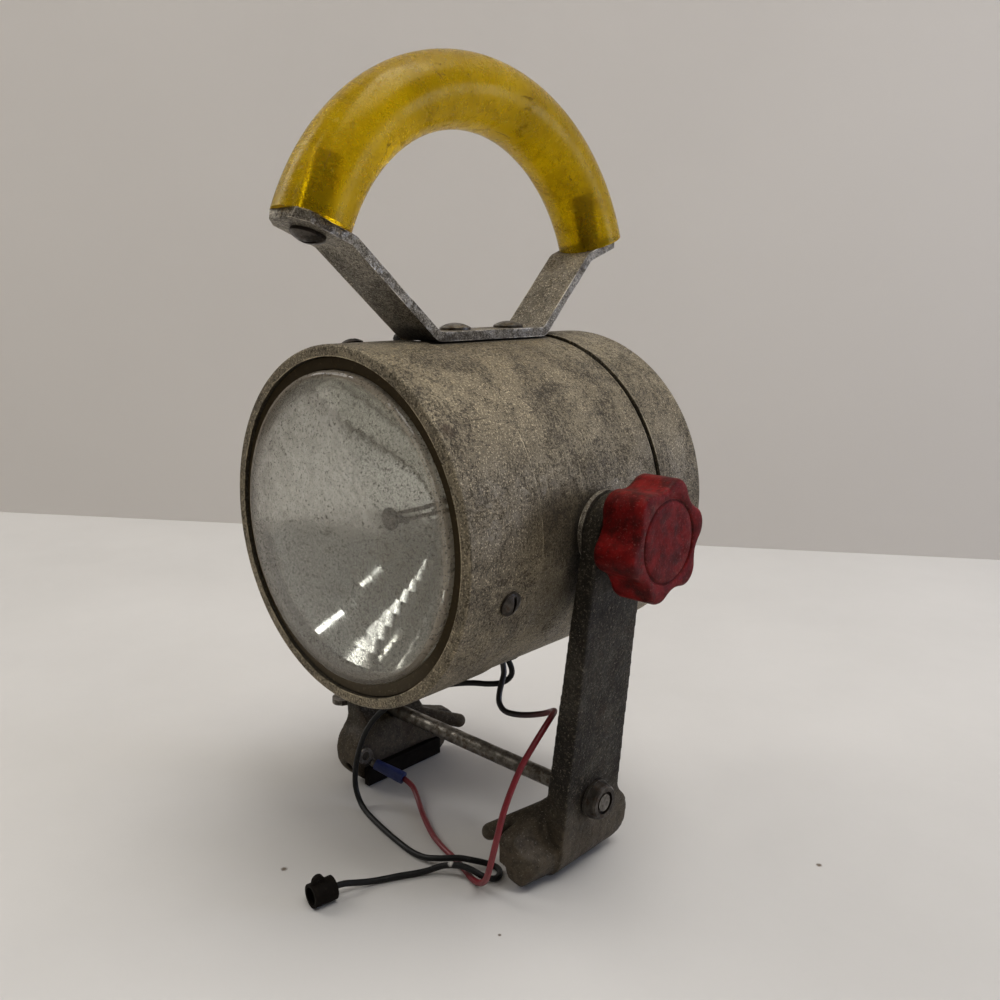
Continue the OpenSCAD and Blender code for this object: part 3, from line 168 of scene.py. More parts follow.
class Graph:
    """One material's node tree, with short calls for the nodes that it uses."""

    def __init__(self, name):
        self.material = bpy.data.materials.new(name)
        self.material.use_nodes = True
        self.nodes = self.material.node_tree.nodes
        self.links = self.material.node_tree.links
        self.nodes.clear()
        self.place = self.node("TexCoord").outputs["Object"]

    def node(self, kind, values=None, **settings):
        item = self.nodes.new("ShaderNode" + kind)
        for key, value in settings.items():
            setattr(item, key, value)
        for key, value in (values or {}).items():
            if isinstance(value, bpy.types.NodeSocket):
                self.links.new(value, item.inputs[key])
            else:
                item.inputs[key].default_value = value
        return item

    def spot(self, squash=(1, 1, 1), shift=(0, 0, 0), turn=(0, 0, 0)):
        values = {"Vector": self.place, "Scale": squash, "Location": shift, "Rotation": turn}
        return self.node("Mapping", values).outputs[0]

    def noise(self, scale, detail=4.0, rough=0.55, at=None, warp=0.0):
        values = {"Scale": scale, "Detail": detail, "Roughness": rough, "Distortion": warp}
        values["Vector"] = at or self.place
        return self.node("TexNoise", values).outputs[0]

    def cells(self, scale):
        return self.node("TexVoronoi", {"Vector": self.place, "Scale": scale}).outputs["Distance"]

    def span(self, value, low, high, start=0.0, end=1.0):
        values = {0: value, 1: low, 2: high, 3: start, 4: end}
        return self.node("MapRange", values, interpolation_type="SMOOTHSTEP").outputs[0]

    def math(self, operation, a, b=0.0, c=0.0):
        return self.node("Math", {0: a, 1: b, 2: c}, operation=operation).outputs[0]

    def hypot(self, a, b):
        return self.math("SQRT", self.math("ADD", self.times(a, a), self.times(b, b)))

    def times(self, *values):
        result = values[0]
        for value in values[1:]:
            result = self.math("MULTIPLY", result, value)
        return result

    def most(self, *values):
        result = values[0]
        for value in values[1:]:
            result = self.math("MAXIMUM", result, value)
        return result

    def mix(self, share, a, b):
        """Colour a where the share is 0, colour b where it is 1."""
        values = {0: share}
        for index, colour in ((6, a), (7, b)):
            values[index] = colour if isinstance(colour, bpy.types.NodeSocket) else (*colour, 1.0)
        return self.node("Mix", values, data_type="RGBA").outputs[2]

    def axis(self, index):
        return self.node("SeparateXYZ", {0: self.place}).outputs[index]

    def facing(self, index):
        normal = self.node("NewGeometry").outputs["Normal"]
        local = self.node("VectorTransform", {0: normal}, vector_type="NORMAL").outputs[0]
        return self.node("SeparateXYZ", {0: local}).outputs[index]

    def edges(self, radius, low=0.02, high=0.16):
        """1 along convex and concave edges, 0 on flat ground."""
        soft = self.node("Bevel", {"Radius": radius}, samples=6).outputs[0]
        sharp = self.node("NewGeometry").outputs["Normal"]
        dot = self.node("VectorMath", {0: soft, 1: sharp}, operation="DOT_PRODUCT").outputs["Value"]
        return self.span(self.math("SUBTRACT", 1.0, dot), low, high)

    def hollows(self, reach, low=0.35, high=0.9):
        """1 in corners and gaps, 0 on open ground."""
        item = self.node("AmbientOcclusion", {"Distance": reach}, samples=6)
        return self.span(item.outputs["AO"], low, high, 1.0, 0.0)

    def near(self, at, size, ragged=0.0, core=0.4):
        """1 at a place, 0 from the given distance on, with a ragged border."""
        gap = self.node("VectorMath", {0: self.place, 1: at}, operation="DISTANCE").outputs["Value"]
        if ragged:
            gap = self.math("MULTIPLY_ADD", self.noise(2.4 / size, 5, 0.7), ragged * size, gap)
        return self.span(gap, size * (1 + 0.5 * ragged), size * (core + 0.5 * ragged))

    def round_axis(self, scale):
        """Place measured round the drum's axis, along it and out from it, each times its scale."""
        x = self.axis(0)
        z = self.math("SUBTRACT", self.axis(2), AXIS.z)
        turn = self.math("ARCTAN2", x, z)
        out = self.hypot(x, z)
        values = {
            0: self.times(turn, DRUM_R * scale[0]), 1: self.times(self.axis(1), scale[1]),
            2: self.times(out, scale[2]),
        }
        return self.node("CombineXYZ", values).outputs[0]

    def bump(self, height, depth, strength):
        return self.node("Bump", {"Height": height, "Distance": depth, "Strength": strength}).outputs[0]

    def done(self, colour, rough, metal, normal, **more):
        """Ends the tree in one shader, and returns the material."""
        values = {"Base Color": colour, "Roughness": rough, "Metallic": metal, "Normal": normal}
        for key, value in more.items():
            values[key.replace("_", " ")] = value
        shader = self.node("BsdfPrincipled", values)
        self.node("OutputMaterial", {"Surface": shader.outputs[0]})
        return self.material


def tint(colour, factor):
    """The colour made lighter or darker."""
    return tuple(min(1.0, factor * c) for c in colour)


def aged_metal(name, light, dark, stain, metal=0.6, rough=(0.4, 0.62), streak=None, marks=()):
    """Old aluminium: cloudy oxide under a brown film of fine grit, with scratches and rubbed edges."""
    g = Graph(name)
    cloud = g.span(g.noise(24, 6, 0.62, warp=0.5), 0.34, 0.68)
    colour = g.mix(cloud, dark, light)
    film = g.span(g.noise(38, 7, 0.68, at=g.spot(shift=(0.4, 0.1, 0.7)), warp=0.9), 0.38, 0.68)
    colour = g.mix(g.times(film, 0.15), colour, tint(stain, 1.9))
    hollow = g.hollows(0.007)
    thick = g.most(film, hollow)
    grain = g.span(g.math("MULTIPLY_ADD", thick, 0.1, g.noise(1200, 4, 0.8)), 0.52, 0.62)
    colour = g.mix(g.times(grain, 0.8), colour, stain)
    coarse = g.noise(430, 5, 0.75, at=g.spot(shift=(0.1, 0.3, 0.2)))
    crumb = g.span(g.math("MULTIPLY_ADD", thick, 0.07, coarse), 0.57, 0.66)
    colour = g.mix(g.times(crumb, 0.55), colour, tint(stain, 0.7))
    fleck = g.span(g.noise(1700, 3, 0.7, at=g.spot(shift=(0.6, 0.2, 0.5))), 0.54, 0.66)
    colour = g.mix(g.times(fleck, g.math("SUBTRACT", 0.85, g.times(thick, 0.5))), colour, tint(light, 2.3))
    crack = g.math("SUBTRACT", g.noise(110, 6, 0.72, at=g.spot(shift=(0.3, 0.6, 0.4))), 0.5)
    crack = g.math("ABSOLUTE", crack)
    crack = g.times(g.span(crack, 0.014, 0.003), g.span(g.noise(60, 3, 0.6), 0.47, 0.56))
    colour = g.mix(g.times(crack, 0.9), colour, tint(stain, 0.4))
    along = streak(g) if streak else g.spot(squash=(0.25, 1, 1))
    line = g.span(g.noise(1100, 3, 0.6, at=along), 0.58, 0.72)
    colour = g.mix(g.times(line, 0.35), colour, tint(light, 1.7))
    scuff = g.span(g.noise(700, 3, 0.6, at=g.spot(squash=(1, 0.12, 0.3), turn=(0.5, 0.2, 0.9))), 0.63, 0.7)
    colour = g.mix(g.times(scuff, 0.5), colour, tint(stain, 0.8))
    colour = g.mix(g.times(hollow, 0.75), colour, tint(stain, 0.5))
    # Marks at listed places: stains, and on the drum also patches of painted shade beside the leg
    for at, size, share, paint_colour in marks:
        spot = g.times(g.near(at, size, 1.2, 0.0), g.span(g.noise(620, 4, 0.7), 0.3, 0.6, 0.4, 1.0), share)
        colour = g.mix(spot, colour, paint_colour)
    worn = g.times(g.edges(0.0007, 0.01, 0.1), g.span(g.noise(85, 5, 0.7), 0.44, 0.62), 0.9)
    colour = g.mix(worn, colour, tint(light, 2.7))
    shine = g.span(g.noise(90, 5, 0.65), 0.3, 0.7, rough[0], rough[1])
    shine = g.math("ADD", shine, g.times(g.most(hollow, grain), 0.2))
    shine = g.math("SUBTRACT", shine, g.times(worn, 0.15))
    height = g.math("SUBTRACT", g.times(fleck, 0.3), g.math("ADD", g.times(grain, 0.5), crumb))
    height = g.math("SUBTRACT", height, g.math("MULTIPLY_ADD", scuff, 0.5, g.times(crack, 1.5)))
    body = g.math("SUBTRACT", metal, g.times(g.most(hollow, grain), 0.4 * metal))
    return g.done(colour, shine, body, g.bump(height, 0.00016, 0.6))


def bracket_casting(light, dark):
    """Dark rough casting: brown-black skin, pale grit, rust, dirt on the feet and edges rubbed lighter."""
    g = Graph("dark_casting")
    cloud = g.span(g.noise(45, 7, 0.65, warp=0.5), 0.32, 0.7)
    colour = g.mix(cloud, dark, light)
    dust = g.span(g.math("MULTIPLY_ADD", cloud, 0.06, g.noise(900, 4, 0.75)), 0.54, 0.66)
    colour = g.mix(g.times(dust, 0.7), colour, (0.09, 0.076, 0.055))
    low = g.span(g.math("MULTIPLY_ADD", g.noise(90, 5, 0.7), 0.02, g.axis(2)), 0.046, 0.022)
    dirt = g.times(low, g.span(g.noise(300, 5, 0.7), 0.35, 0.6, 0.3, 0.75))
    colour = g.mix(dirt, colour, (0.1, 0.078, 0.052))
    rust = g.span(g.noise(85, 6, 0.7, at=g.spot(shift=(0.3, 0.9, 0.2))), 0.54, 0.7)
    colour = g.mix(g.times(rust, 0.55), colour, (0.034, 0.02, 0.012))
    speck = g.span(g.noise(1500, 2, 0.6, at=g.spot(shift=(0.5, 0.5, 0.2))), 0.62, 0.7)
    colour = g.mix(g.times(speck, 0.65), colour, (0.22, 0.19, 0.15))
    hollow = g.hollows(0.008)
    colour = g.mix(g.times(hollow, 0.7), colour, (0.014, 0.01, 0.007))
    worn = g.times(g.edges(0.0012), g.span(g.noise(260, 4, 0.6), 0.4, 0.62))
    colour = g.mix(g.times(worn, 0.45), colour, (0.15, 0.14, 0.12))
    height = g.math("ADD", g.noise(620, 5, 0.7), g.times(g.noise(150, 4, 0.6), 1.6))
    height = g.math("SUBTRACT", height, g.times(g.span(g.cells(380), 0.24, 0.1), 0.5))
    shine = g.span(g.noise(140, 5, 0.6), 0.3, 0.7, 0.42, 0.66)
    return g.done(colour, shine, 0.1, g.bump(height, 0.00032, 0.8), Specular_IOR_Level=0.16)


def turned_steel(name, light, dark, rust, rough=(0.32, 0.6), metal=0.85):
    """Small steel pieces: dull plating, brown film and bright rubbed edges."""
    g = Graph(name)
    cloud = g.span(g.noise(240, 5, 0.65), 0.35, 0.66)
    colour = g.mix(cloud, dark, light)
    film = g.span(g.noise(420, 5, 0.7, at=g.spot(shift=(0.2, 0.5, 0.3))), 0.5, 0.64)
    colour = g.mix(g.times(film, 0.7), colour, rust)
    hollow = g.hollows(0.003)
    colour = g.mix(g.times(hollow, 0.85), colour, tint(rust, 0.35))
    worn = g.times(g.edges(0.0004), g.span(g.noise(500, 3, 0.6), 0.38, 0.6))
    colour = g.mix(g.times(worn, 0.8), colour, tint(light, 1.7))
    shine = g.math("ADD", g.span(cloud, 0, 1, rough[1], rough[0]), g.times(film, 0.15))
    height = g.math("ADD", g.noise(900, 4, 0.6), g.times(film, 0.6))
    return g.done(colour, shine, metal, g.bump(height, 0.00008, 0.5))


def red_plastic(light, dark):
    """Phenolic knob: dusty face, darker sides, grime in the groove, pale worn edges."""
    g = Graph("knob_red")
    cloud = g.span(g.noise(140, 6, 0.68), 0.34, 0.66)
    colour = g.mix(cloud, dark, light)
    front = g.span(g.facing(0), 0.75, 0.97)
    dusty = g.times(front, g.span(g.noise(320, 6, 0.75), 0.38, 0.62))
    colour = g.mix(g.times(dusty, 0.6), colour, (0.12, 0.012, 0.013))
    grime = g.span(g.noise(210, 6, 0.72, at=g.spot(shift=(0.7, 0.2, 0.1))), 0.46, 0.64)
    side = g.math("SUBTRACT", 1.0, front)
    colour = g.mix(g.times(grime, g.math("MULTIPLY_ADD", side, 0.25, 0.5)), colour, (0.026, 0.004, 0.003))
    speck = g.span(g.noise(1300, 3, 0.7), 0.58, 0.68)
    colour = g.mix(g.times(speck, 0.5), colour, (0.25, 0.07, 0.06))
    hollow = g.hollows(0.003, 0.4, 0.95)
    colour = g.mix(g.times(hollow, 0.6), colour, (0.02, 0.004, 0.003))
    worn = g.times(g.edges(0.0005, 0.015, 0.1), g.span(g.noise(420, 4, 0.6), 0.42, 0.62))
    colour = g.mix(g.times(worn, 0.5), colour, (0.24, 0.055, 0.05))
    shine = g.math("ADD", g.span(g.noise(200, 4, 0.6), 0.3, 0.7, 0.34, 0.55), g.times(dusty, 0.22))
    height = g.math("ADD", g.times(g.noise(850, 4, 0.65), 0.8), g.times(grime, 0.5))
    return g.done(colour, shine, 0.0, g.bump(height, 0.00014, 0.6), Specular_IOR_Level=0.1)


def amber_plastic(light, dark):
    """Translucent amber grip with scratches, brown grime and rubbed patches."""
    g = Graph("grip_amber")
    cloud = g.span(g.noise(40, 5, 0.6), 0.3, 0.7)
    colour = g.mix(cloud, dark, light)
    deep = g.span(g.noise(75, 6, 0.7, at=g.spot(shift=(0.5, 0.3, 0.9)), warp=0.8), 0.46, 0.7)
    low = g.span(g.axis(2), 0.262, 0.212)
    grime = g.times(deep, g.math("MULTIPLY_ADD", low, 0.5, 0.4))
    colour = g.mix(grime, colour, (0.24, 0.12, 0.004))
    crumb = g.span(g.noise(900, 4, 0.75), 0.58, 0.68)
    colour = g.mix(g.times(crumb, 0.5), colour, (0.14, 0.065, 0.006))
    across = g.spot(squash=(1, 0.25, 0.25), turn=(0.6, 0, 0))
    thread = g.span(g.noise(330, 6, 0.7, at=across, warp=1.2), 0.6, 0.68)
    colour = g.mix(g.times(thread, 0.8), colour, (0.1, 0.045, 0.004))
    pale = g.span(g.noise(520, 3, 0.6, at=g.spot(squash=(0.2, 1, 1), turn=(0, 0.4, 0.5))), 0.65, 0.72)
    colour = g.mix(g.times(pale, 0.4), colour, (0.75, 0.58, 0.06))
    shine = g.span(g.noise(110, 5, 0.65), 0.3, 0.7, 0.18, 0.34)
    shine = g.math("ADD", shine, g.times(g.most(thread, pale, crumb), 0.25))
    height = g.math("SUBTRACT", g.times(g.noise(60, 3, 0.5), 1.5), g.math("ADD", thread, g.times(pale, 0.6)))
    through = g.math("SUBTRACT", 0.8, g.times(g.most(grime, thread, crumb), 0.5))
    return g.done(
        colour, shine, 0.0, g.bump(height, 0.0001, 0.5), Transmission_Weight=through, IOR=1.3,
        Specular_IOR_Level=0.2, Specular_Tint=(1, 0.8, 0.2, 1), Subsurface_Weight=0.2,
        Subsurface_Radius=(0.01, 0.006, 0.001), Subsurface_Scale=0.6,
    )


def lens_glass():
    """Clear pressed glass: pale dust above a slanting line that is also a painted reflection of the bowl,
    brown dirt along the foot, dusty shoulder.
    """
    g = Graph("lens_glass")
    x = g.axis(0)
    z = g.math("SUBTRACT", g.axis(2), AXIS.z)
    radius = g.hypot(x, z)
    rim = g.span(radius, 0.036, 0.0525)
    film = g.span(g.noise(70, 6, 0.7), 0.36, 0.7)
    speck = g.span(g.math("MULTIPLY_ADD", film, 0.06, g.noise(1250, 3, 0.75)), 0.53, 0.64)
    foot = g.times(g.span(z, -0.026, -0.05), g.span(radius, 0.046, 0.052))
    crumb = g.span(g.noise(1000, 3, 0.75, at=g.spot(shift=(0.2, 0.7, 0.1))), 0.56, 0.63)
    smear = g.span(g.noise(260, 5, 0.7, at=g.spot(shift=(0.9, 0.1, 0.4))), 0.48, 0.64)
    # Painted reflection over dust: above a slanting line the veil is thicker and paler, standing in for the
    # pale part of the bowl's reflection
    tide = g.math("MULTIPLY_ADD", x, -0.12, g.math("MULTIPLY_ADD", g.noise(60, 4, 0.6), 0.006, z))
    side = g.span(g.math("MULTIPLY_ADD", z, 0.6, x), 0.033, 0.025, 0.3, 1.0)
    cloudy = g.span(g.noise(240, 5, 0.7), 0.25, 0.6, 0.6, 1.0)
    brow = g.times(side, g.span(tide, -0.001, 0.009), g.span(radius, 0.05, 0.043), cloudy)
    shoulder = g.span(radius, 0.0485, 0.0505)
    haze_and_reflection = g.math("ADD", g.times(rim, 0.05), g.math("ADD", g.times(brow, 0.42), g.times(smear, 0.06)))
    fleck = g.span(g.noise(800, 5, 0.78, at=g.spot(shift=(0.3, 0.4, 0.8))), 0.57, 0.63)
    shares = ((film, 0.03), (speck, 0.34), (crumb, 0.75), (foot, 0.6), (shoulder, 0.5), (fleck, 0.35))
    # This dust mask also carries the painted reflection above the slanting line
    dust = g.most(haze_and_reflection, *(g.times(mask, share) for mask, share in shares))
    clear = g.node("BsdfPrincipled", {
        "Base Color": (0.93, 0.95, 0.93, 1), "Roughness": 0.02, "IOR": 1.5, "Transmission Weight": 1.0,
        "Normal": g.bump(g.noise(35, 2, 0.4), 0.0002, 0.25)}).outputs[0]
    # The veil's tone: pale where the painted reflection lies, warm brown elsewhere, dark brown on the foot,
    # crumbs and flecks
    powder = g.mix(brow, (0.4, 0.34, 0.26), (0.76, 0.73, 0.66))
    powder = g.mix(g.most(foot, crumb, fleck), powder, (0.09, 0.07, 0.042))
    veil = g.node("BsdfPrincipled", {"Base Color": powder, "Roughness": 0.85}).outputs[0]
    both = g.node("MixShader", {0: dust, 1: clear, 2: veil}).outputs[0]
    # The bulb's thin glass would cast a full shadow, so shadow rays pass through it
    path = g.node("LightPath").outputs["Is Shadow Ray"]
    open_way = g.node("BsdfTransparent", {"Color": (0.86, 0.87, 0.85, 1)}).outputs[0]
    shader = g.node("MixShader", {0: path, 1: both, 2: open_way}).outputs[0]
    g.node("OutputMaterial", {"Surface": shader})
    return g.material


def mirror_coat():
    """Aluminised bowl, dulled, with a few darker blooms."""
    g = Graph("reflector")
    bloom = g.span(g.noise(55, 5, 0.6), 0.5, 0.75)
    colour = g.mix(g.times(bloom, 0.3), (0.85, 0.84, 0.8), (0.36, 0.32, 0.25))
    speck = g.span(g.noise(900, 3, 0.7), 0.6, 0.7)
    colour = g.mix(g.times(speck, 0.5), colour, (0.12, 0.105, 0.08))
    shine = g.span(g.noise(70, 4, 0.6), 0.3, 0.7, 0.05, 0.12)
    return g.done(colour, shine, 0.95, g.bump(g.noise(14, 2, 0.4), 0.0004, 0.2))


def soft_black(name, base, dust, rough=(0.55, 0.8), grain=600, marks=(), gloss=0.5):
    """Rubber, dark plastic and sleeves: faint mottling and dust, with stretches of another colour."""
    g = Graph(name)
    cloud = g.span(g.noise(grain * 0.4, 5, 0.65), 0.3, 0.7)
    colour = g.mix(cloud, tint(base, 0.7), base)
    powder = g.span(g.noise(grain, 4, 0.7), 0.54, 0.7)
    colour = g.mix(g.times(powder, 0.45), colour, dust)
    hollow = g.hollows(0.002)
    colour = g.mix(g.times(hollow, 0.5), colour, tint(base, 0.4))
    for at, size, core, paint_colour in marks:
        other = g.mix(powder, tint(paint_colour, 0.8), tint(paint_colour, 1.5))
        colour = g.mix(g.near(at, size, 0.0, core), colour, other)
    shine = g.span(g.noise(grain * 0.5, 4, 0.6), 0.3, 0.7, rough[0], rough[1])
    normal = g.bump(g.noise(grain * 1.5, 3, 0.6), 0.00006, 0.5)
    return g.done(colour, shine, 0.0, normal, Specular_IOR_Level=gloss)


def make_materials(tones):
    """Every material of the lantern, by the name of its slot."""
    return {
        "steel": turned_steel("steel", (0.2, 0.185, 0.16), (0.09, 0.08, 0.066), (0.07, 0.045, 0.026)),
        "dark_steel": turned_steel(
            "dark_steel", (0.08, 0.07, 0.06), (0.03, 0.026, 0.021), (0.045, 0.026, 0.015)),
        "brass": turned_steel("brass", (0.4, 0.28, 0.1), (0.2, 0.13, 0.045), (0.1, 0.06, 0.025)),
        "weathered_alu": aged_metal(
            "weathered_alu", tones.drum_light, tones.drum_dark, (0.034, 0.0245, 0.013),
            streak=lambda g: g.round_axis((0.1, 1, 1)), marks=DRUM_STAIN_AND_SHADE_MARKS),
        "strap_alu": aged_metal(
            "strap_alu", tones.strap_light, tones.strap_dark, (0.042, 0.03, 0.018), metal=0.65,
            rough=(0.36, 0.58)),
        "lens_glass": lens_glass(),
        "reflector": mirror_coat(),
        "dark_rubber": soft_black(
            "dark_rubber", (0.009, 0.007, 0.005), (0.022, 0.018, 0.012), gloss=0.05, marks=RUBBER_MARKS),
        "grip_amber": amber_plastic(tones.grip_light, tones.grip_dark),
        "knob_red": red_plastic(tones.knob_light, tones.knob_dark),
        "dark_casting": bracket_casting(tones.casting_light, tones.casting_dark),
        "red_cover": soft_black(
            "red_cover", (0.2, 0.006, 0.014), (0.22, 0.06, 0.06), (0.3, 0.5), 500, marks=RED_MARKS),
        "black_cover": soft_black(
            "black_cover", (0.009, 0.009, 0.009), (0.035, 0.034, 0.032), (0.35, 0.55), 500,
            gloss=0.25, marks=BLACK_MARKS),
        "blue_sleeve": soft_black("blue_sleeve", (0.008, 0.02, 0.12), (0.04, 0.06, 0.15), (0.35, 0.55), 500),
        "black_plastic": soft_black("black_plastic", (0.014, 0.013, 0.012), (0.07, 0.06, 0.05)),
    }


def paint(obj, slot):
    obj.data.materials.clear()
    obj.data.materials.append(MATERIALS[slot])


def dress(names, round_r=0.0):
    """Gives carried-over pieces their material and a small rounding of their edges."""
    for name in names:
        obj = frame["nodes"][name]
        obj.data.materials.clear()
        obj.data.materials.append(MATERIALS[SLOTS[name]])
        if round_r:
            bevel = obj.modifiers.new("edge_round", "BEVEL")
            bevel.width = round_r
            bevel.segments = 2
            bevel.limit_method = "ANGLE"
            bevel.angle_limit = math.radians(EDGE_ANGLE)


def soften(names, cell, rounds):
    """Melts a casting's crisp edges and corners together, as sand casting leaves them."""
    for name in names:
        obj = frame["nodes"][name]
        grid = obj.modifiers.new("cast_grid", "REMESH")
        grid.mode = "VOXEL"
        grid.voxel_size = cell
        grid.use_smooth_shade = True
        melt = obj.modifiers.new("cast_melt", "SMOOTH")
        melt.factor = 0.5
        melt.iterations = rounds


def mesh_object(name, points, faces, slot):
    mesh = bpy.data.meshes.new(name)
    mesh.from_pydata([tuple(p) for p in points], [], faces)
    mesh.validate()
    mesh.polygons.foreach_set("use_smooth", [True] * len(mesh.polygons))
    obj = bpy.data.objects.new(name, mesh)
    bpy.context.scene.collection.objects.link(obj)
    paint(obj, slot)
    return obj


def smooth_route(route, steps):
    """Catmull-Rom curve through the route's points."""
    p = [Vector(q) for q in route]
    last = len(p) - 1
    line = []
    for i in range(last):
        a, b, c, d = p[max(i - 1, 0)], p[i], p[i + 1], p[min(i + 2, last)]
        for s in range(steps):
            t = s / steps
            line.append(
                0.5 * (2 * b + (c - a) * t + (2 * a - 5 * b + 4 * c - d) * t * t
                       + (3 * b - a - 3 * c + d) * t ** 3))
    line.append(p[last])
    return line


def tube_mesh(line, radius, sides):
    """Rings of points carried along a line without twisting."""
    count = len(line)
    ways = [(line[min(i + 1, count - 1)] - line[max(i - 1, 0)]).normalized() for i in range(count)]
    side = ways[0].cross(Vector((1, 0, 0)))
    points, faces = [], []
    for i, way in enumerate(ways):
        side = (side - way * side.dot(way)).normalized()
        up = way.cross(side)
        for k in range(sides):
            a = 2 * math.pi * k / sides
            points.append(line[i] + radius * (math.cos(a) * side + math.sin(a) * up))
    for i in range(count - 1):
        for k in range(sides):
            a, b = i * sides + k, i * sides + (k + 1) % sides
            faces.append((a, b, b + sides, a + sides))
    faces.append(tuple(reversed(range(sides))))
    faces.append(tuple(range((count - 1) * sides, count * sides)))
    return points, faces


def make_lead(name, node, route, slot, sides):
    line = smooth_route(route, ROUTE_STEPS)
    points, faces = tube_mesh(line, LEAD_D / 2, sides)
    lead = mesh_object(name, points, faces, slot)
    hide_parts(node)
    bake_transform(lead)


def make_camera(lens):
    data = bpy.data.cameras.new("lantern_camera")
    data.lens = lens
    data.sensor_width = SENSOR_MM
    data.clip_start = 0.01
    camera = bpy.data.objects.new("lantern_camera", data)
    camera.matrix_world = Matrix.Translation(CAMERA_AT) @ Matrix(CAMERA_AXES).transposed().to_4x4()
    bpy.context.scene.collection.objects.link(camera)
    bpy.context.scene.camera = camera


def make_knob(lobes, hollow, groove):
    """Lobed knob with a rolled back edge, a broad front edge and a ring groove in its face."""
    low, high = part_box("clamp_knob")
    thick = high.x - low.x
    mean = KNOB_R - hollow / 2
    count = lobes * LOBE_POINTS
    points, faces = [], []

    def lobed(a):
        wave = math.cos(lobes * a)
        return mean + hollow / 2 * math.copysign(abs(wave) ** 0.85, wave)

    def add(depth, radius_of):
        for k in range(count):
            a = 2 * math.pi * k / count
            r = radius_of(a)
            points.append((
                low.x + depth, AXIS.y + r * math.cos(a + KNOB_LEAN), AXIS.z + r * math.sin(a + KNOB_LEAN)))

    rings = list(BACK_RINGS) + [(thick - drop, inset) for drop, inset in FACE_RINGS]
    for depth, inset in rings:
        add(depth, lambda a: lobed(a) - inset)
    circles = (
        (0.0, GROOVE_OUT), (0.0003, GROOVE_OUT - 0.0003), (groove, GROOVE_OUT - 0.0005),
        (groove, GROOVE_IN + 0.0004), (0.0003, GROOVE_IN + 0.0001), (0.0001, GROOVE_IN - 0.0003),
        (0.0002, 0.01), (FACE_SINK, 0.005),
    )
    for drop, r in circles:
        add(thick - drop, lambda a: r)
    total = len(points) // count
    for i in range(total - 1):
        for k in range(count):
            a, b = i * count + k, i * count + (k + 1) % count
            faces.append((a, b, b + count, a + count))
    points.append((low.x + thick - FACE_SINK, AXIS.y, AXIS.z))
    centre = len(points) - 1
    for k in range(count):
        faces.append(((total - 1) * count + k, (total - 1) * count + (k + 1) % count, centre))
    # The back is a flat ring around the brass insert
    start = len(points)
    add(0.0, lambda a: KNOB_HOLE_R)
    for k in range(count):
        faces.append((k, start + k, start + (k + 1) % count, (k + 1) % count))
    knob = mesh_object("knob_body", points, faces, "knob_red")
    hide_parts("clamp_knob")
    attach(knob, "knob")


def stage_sheet(name, corners, material):
    mesh = bpy.data.meshes.new(name)
    mesh.from_pydata(corners, [], [(0, 1, 2, 3)])
    mesh.materials.append(material)
    sheet = bpy.data.objects.new(name, mesh)
    bpy.context.scene.collection.objects.link(sheet)


def make_floor(light, dark):
    """Pale floor with fine mottling and a few dark crumbs."""
    g = Graph("stage_floor")
    cloud = g.span(g.noise(3.5, 6, 0.6), 0.3, 0.7)
    colour = g.mix(cloud, dark, light)
    dust = g.span(g.noise(260, 3, 0.6), 0.62, 0.72)
    colour = g.mix(g.times(dust, 0.1), colour, (0.6, 0.57, 0.53))
    for at, size in CRUMBS:
        colour = g.mix(g.near(at, size, 1.0, 0.3), colour, (0.12, 0.09, 0.06))
    shine = g.span(g.noise(8, 4, 0.6), 0.3, 0.7, 0.5, 0.68)
    material = g.done(colour, shine, 0.0, g.bump(g.noise(120, 4, 0.6), 0.0003, 0.3))
    half = FLOOR_HALF
    corners = [(-half, -half, 0), (half, -half, 0), (half, half, 0), (-half, half, 0)]
    stage_sheet("stage_floor", corners, material)


def make_wall(light, dark):
    """Plain wall that meets the floor along the line seen behind the lantern, with painted shade darkening
    it toward the floor.
    """
    g = Graph("stage_wall")
    cloud = g.span(g.noise(2.2, 4, 0.5), 0.3, 0.7)
    colour = g.mix(cloud, dark, light)
    # Painted shade: the wall darkens toward its foot, where shadow lies near the floor
    foot = g.span(g.axis(2), 0.0, 0.35)
    colour = g.mix(g.times(g.math("SUBTRACT", 1.0, foot), 0.35), colour, (0.6, 0.57, 0.54))
    material = g.done(colour, 0.8, 0.0, g.bump(g.noise(90, 4, 0.6), 0.0004, 0.2))
    left, right = WALL_FOOT
    reach = WALL_REACH * (right - left).normalized()
    a, b, up = left - reach, right + reach, Vector((0, 0, WALL_HIGH))
    stage_sheet("stage_wall", [a, b, b + up, a + up], material)


def make_light(name, at, aim, size, colour, power):
    data = bpy.data.lights.new(name, "AREA")
    data.shape = "RECTANGLE"
    data.size, data.size_y = size
    data.energy = power
    data.color = colour
    light = bpy.data.objects.new(name, data)
    light.location = at
    light.rotation_euler = (Vector(aim) - Vector(at)).to_track_quat("-Z", "Y").to_euler()
    bpy.context.scene.collection.objects.link(light)


def make_world(strength):
    world = bpy.data.worlds.new("room_light")
    world.use_nodes = True
    ground = world.node_tree.nodes["Background"]
    ground.inputs["Color"].default_value = ROOM_COLOUR
    ground.inputs["Strength"].default_value = strength
    bpy.context.scene.world = world


class LanternShape(bpy.types.PropertyGroup):
    """Sizes of the pieces that are drawn here."""

    lead_sides: IntProperty(name="Lead sides", description="Sides of each lead", default=14, min=8, max=32)
    knob_lobes: IntProperty(name="Knob lobes", description="Lobes of the knob", default=6, min=5, max=8)
    knob_hollow: FloatProperty(
        name="Knob hollows", description="Depth of the hollows between lobes", default=0.0034, unit="LENGTH")
    groove: FloatProperty(
        name="Ring groove", description="Depth of the ring groove in the knob's face", default=0.0007,
        unit="LENGTH")
    cast_cell: FloatProperty(
        name="Casting grain", description="Cell in which the castings are softened", default=0.0005,
        unit="LENGTH")
    cast_rounds: IntProperty(
        name="Casting rounds", description="Rounds of smoothing of the castings", default=9, min=0, max=20)


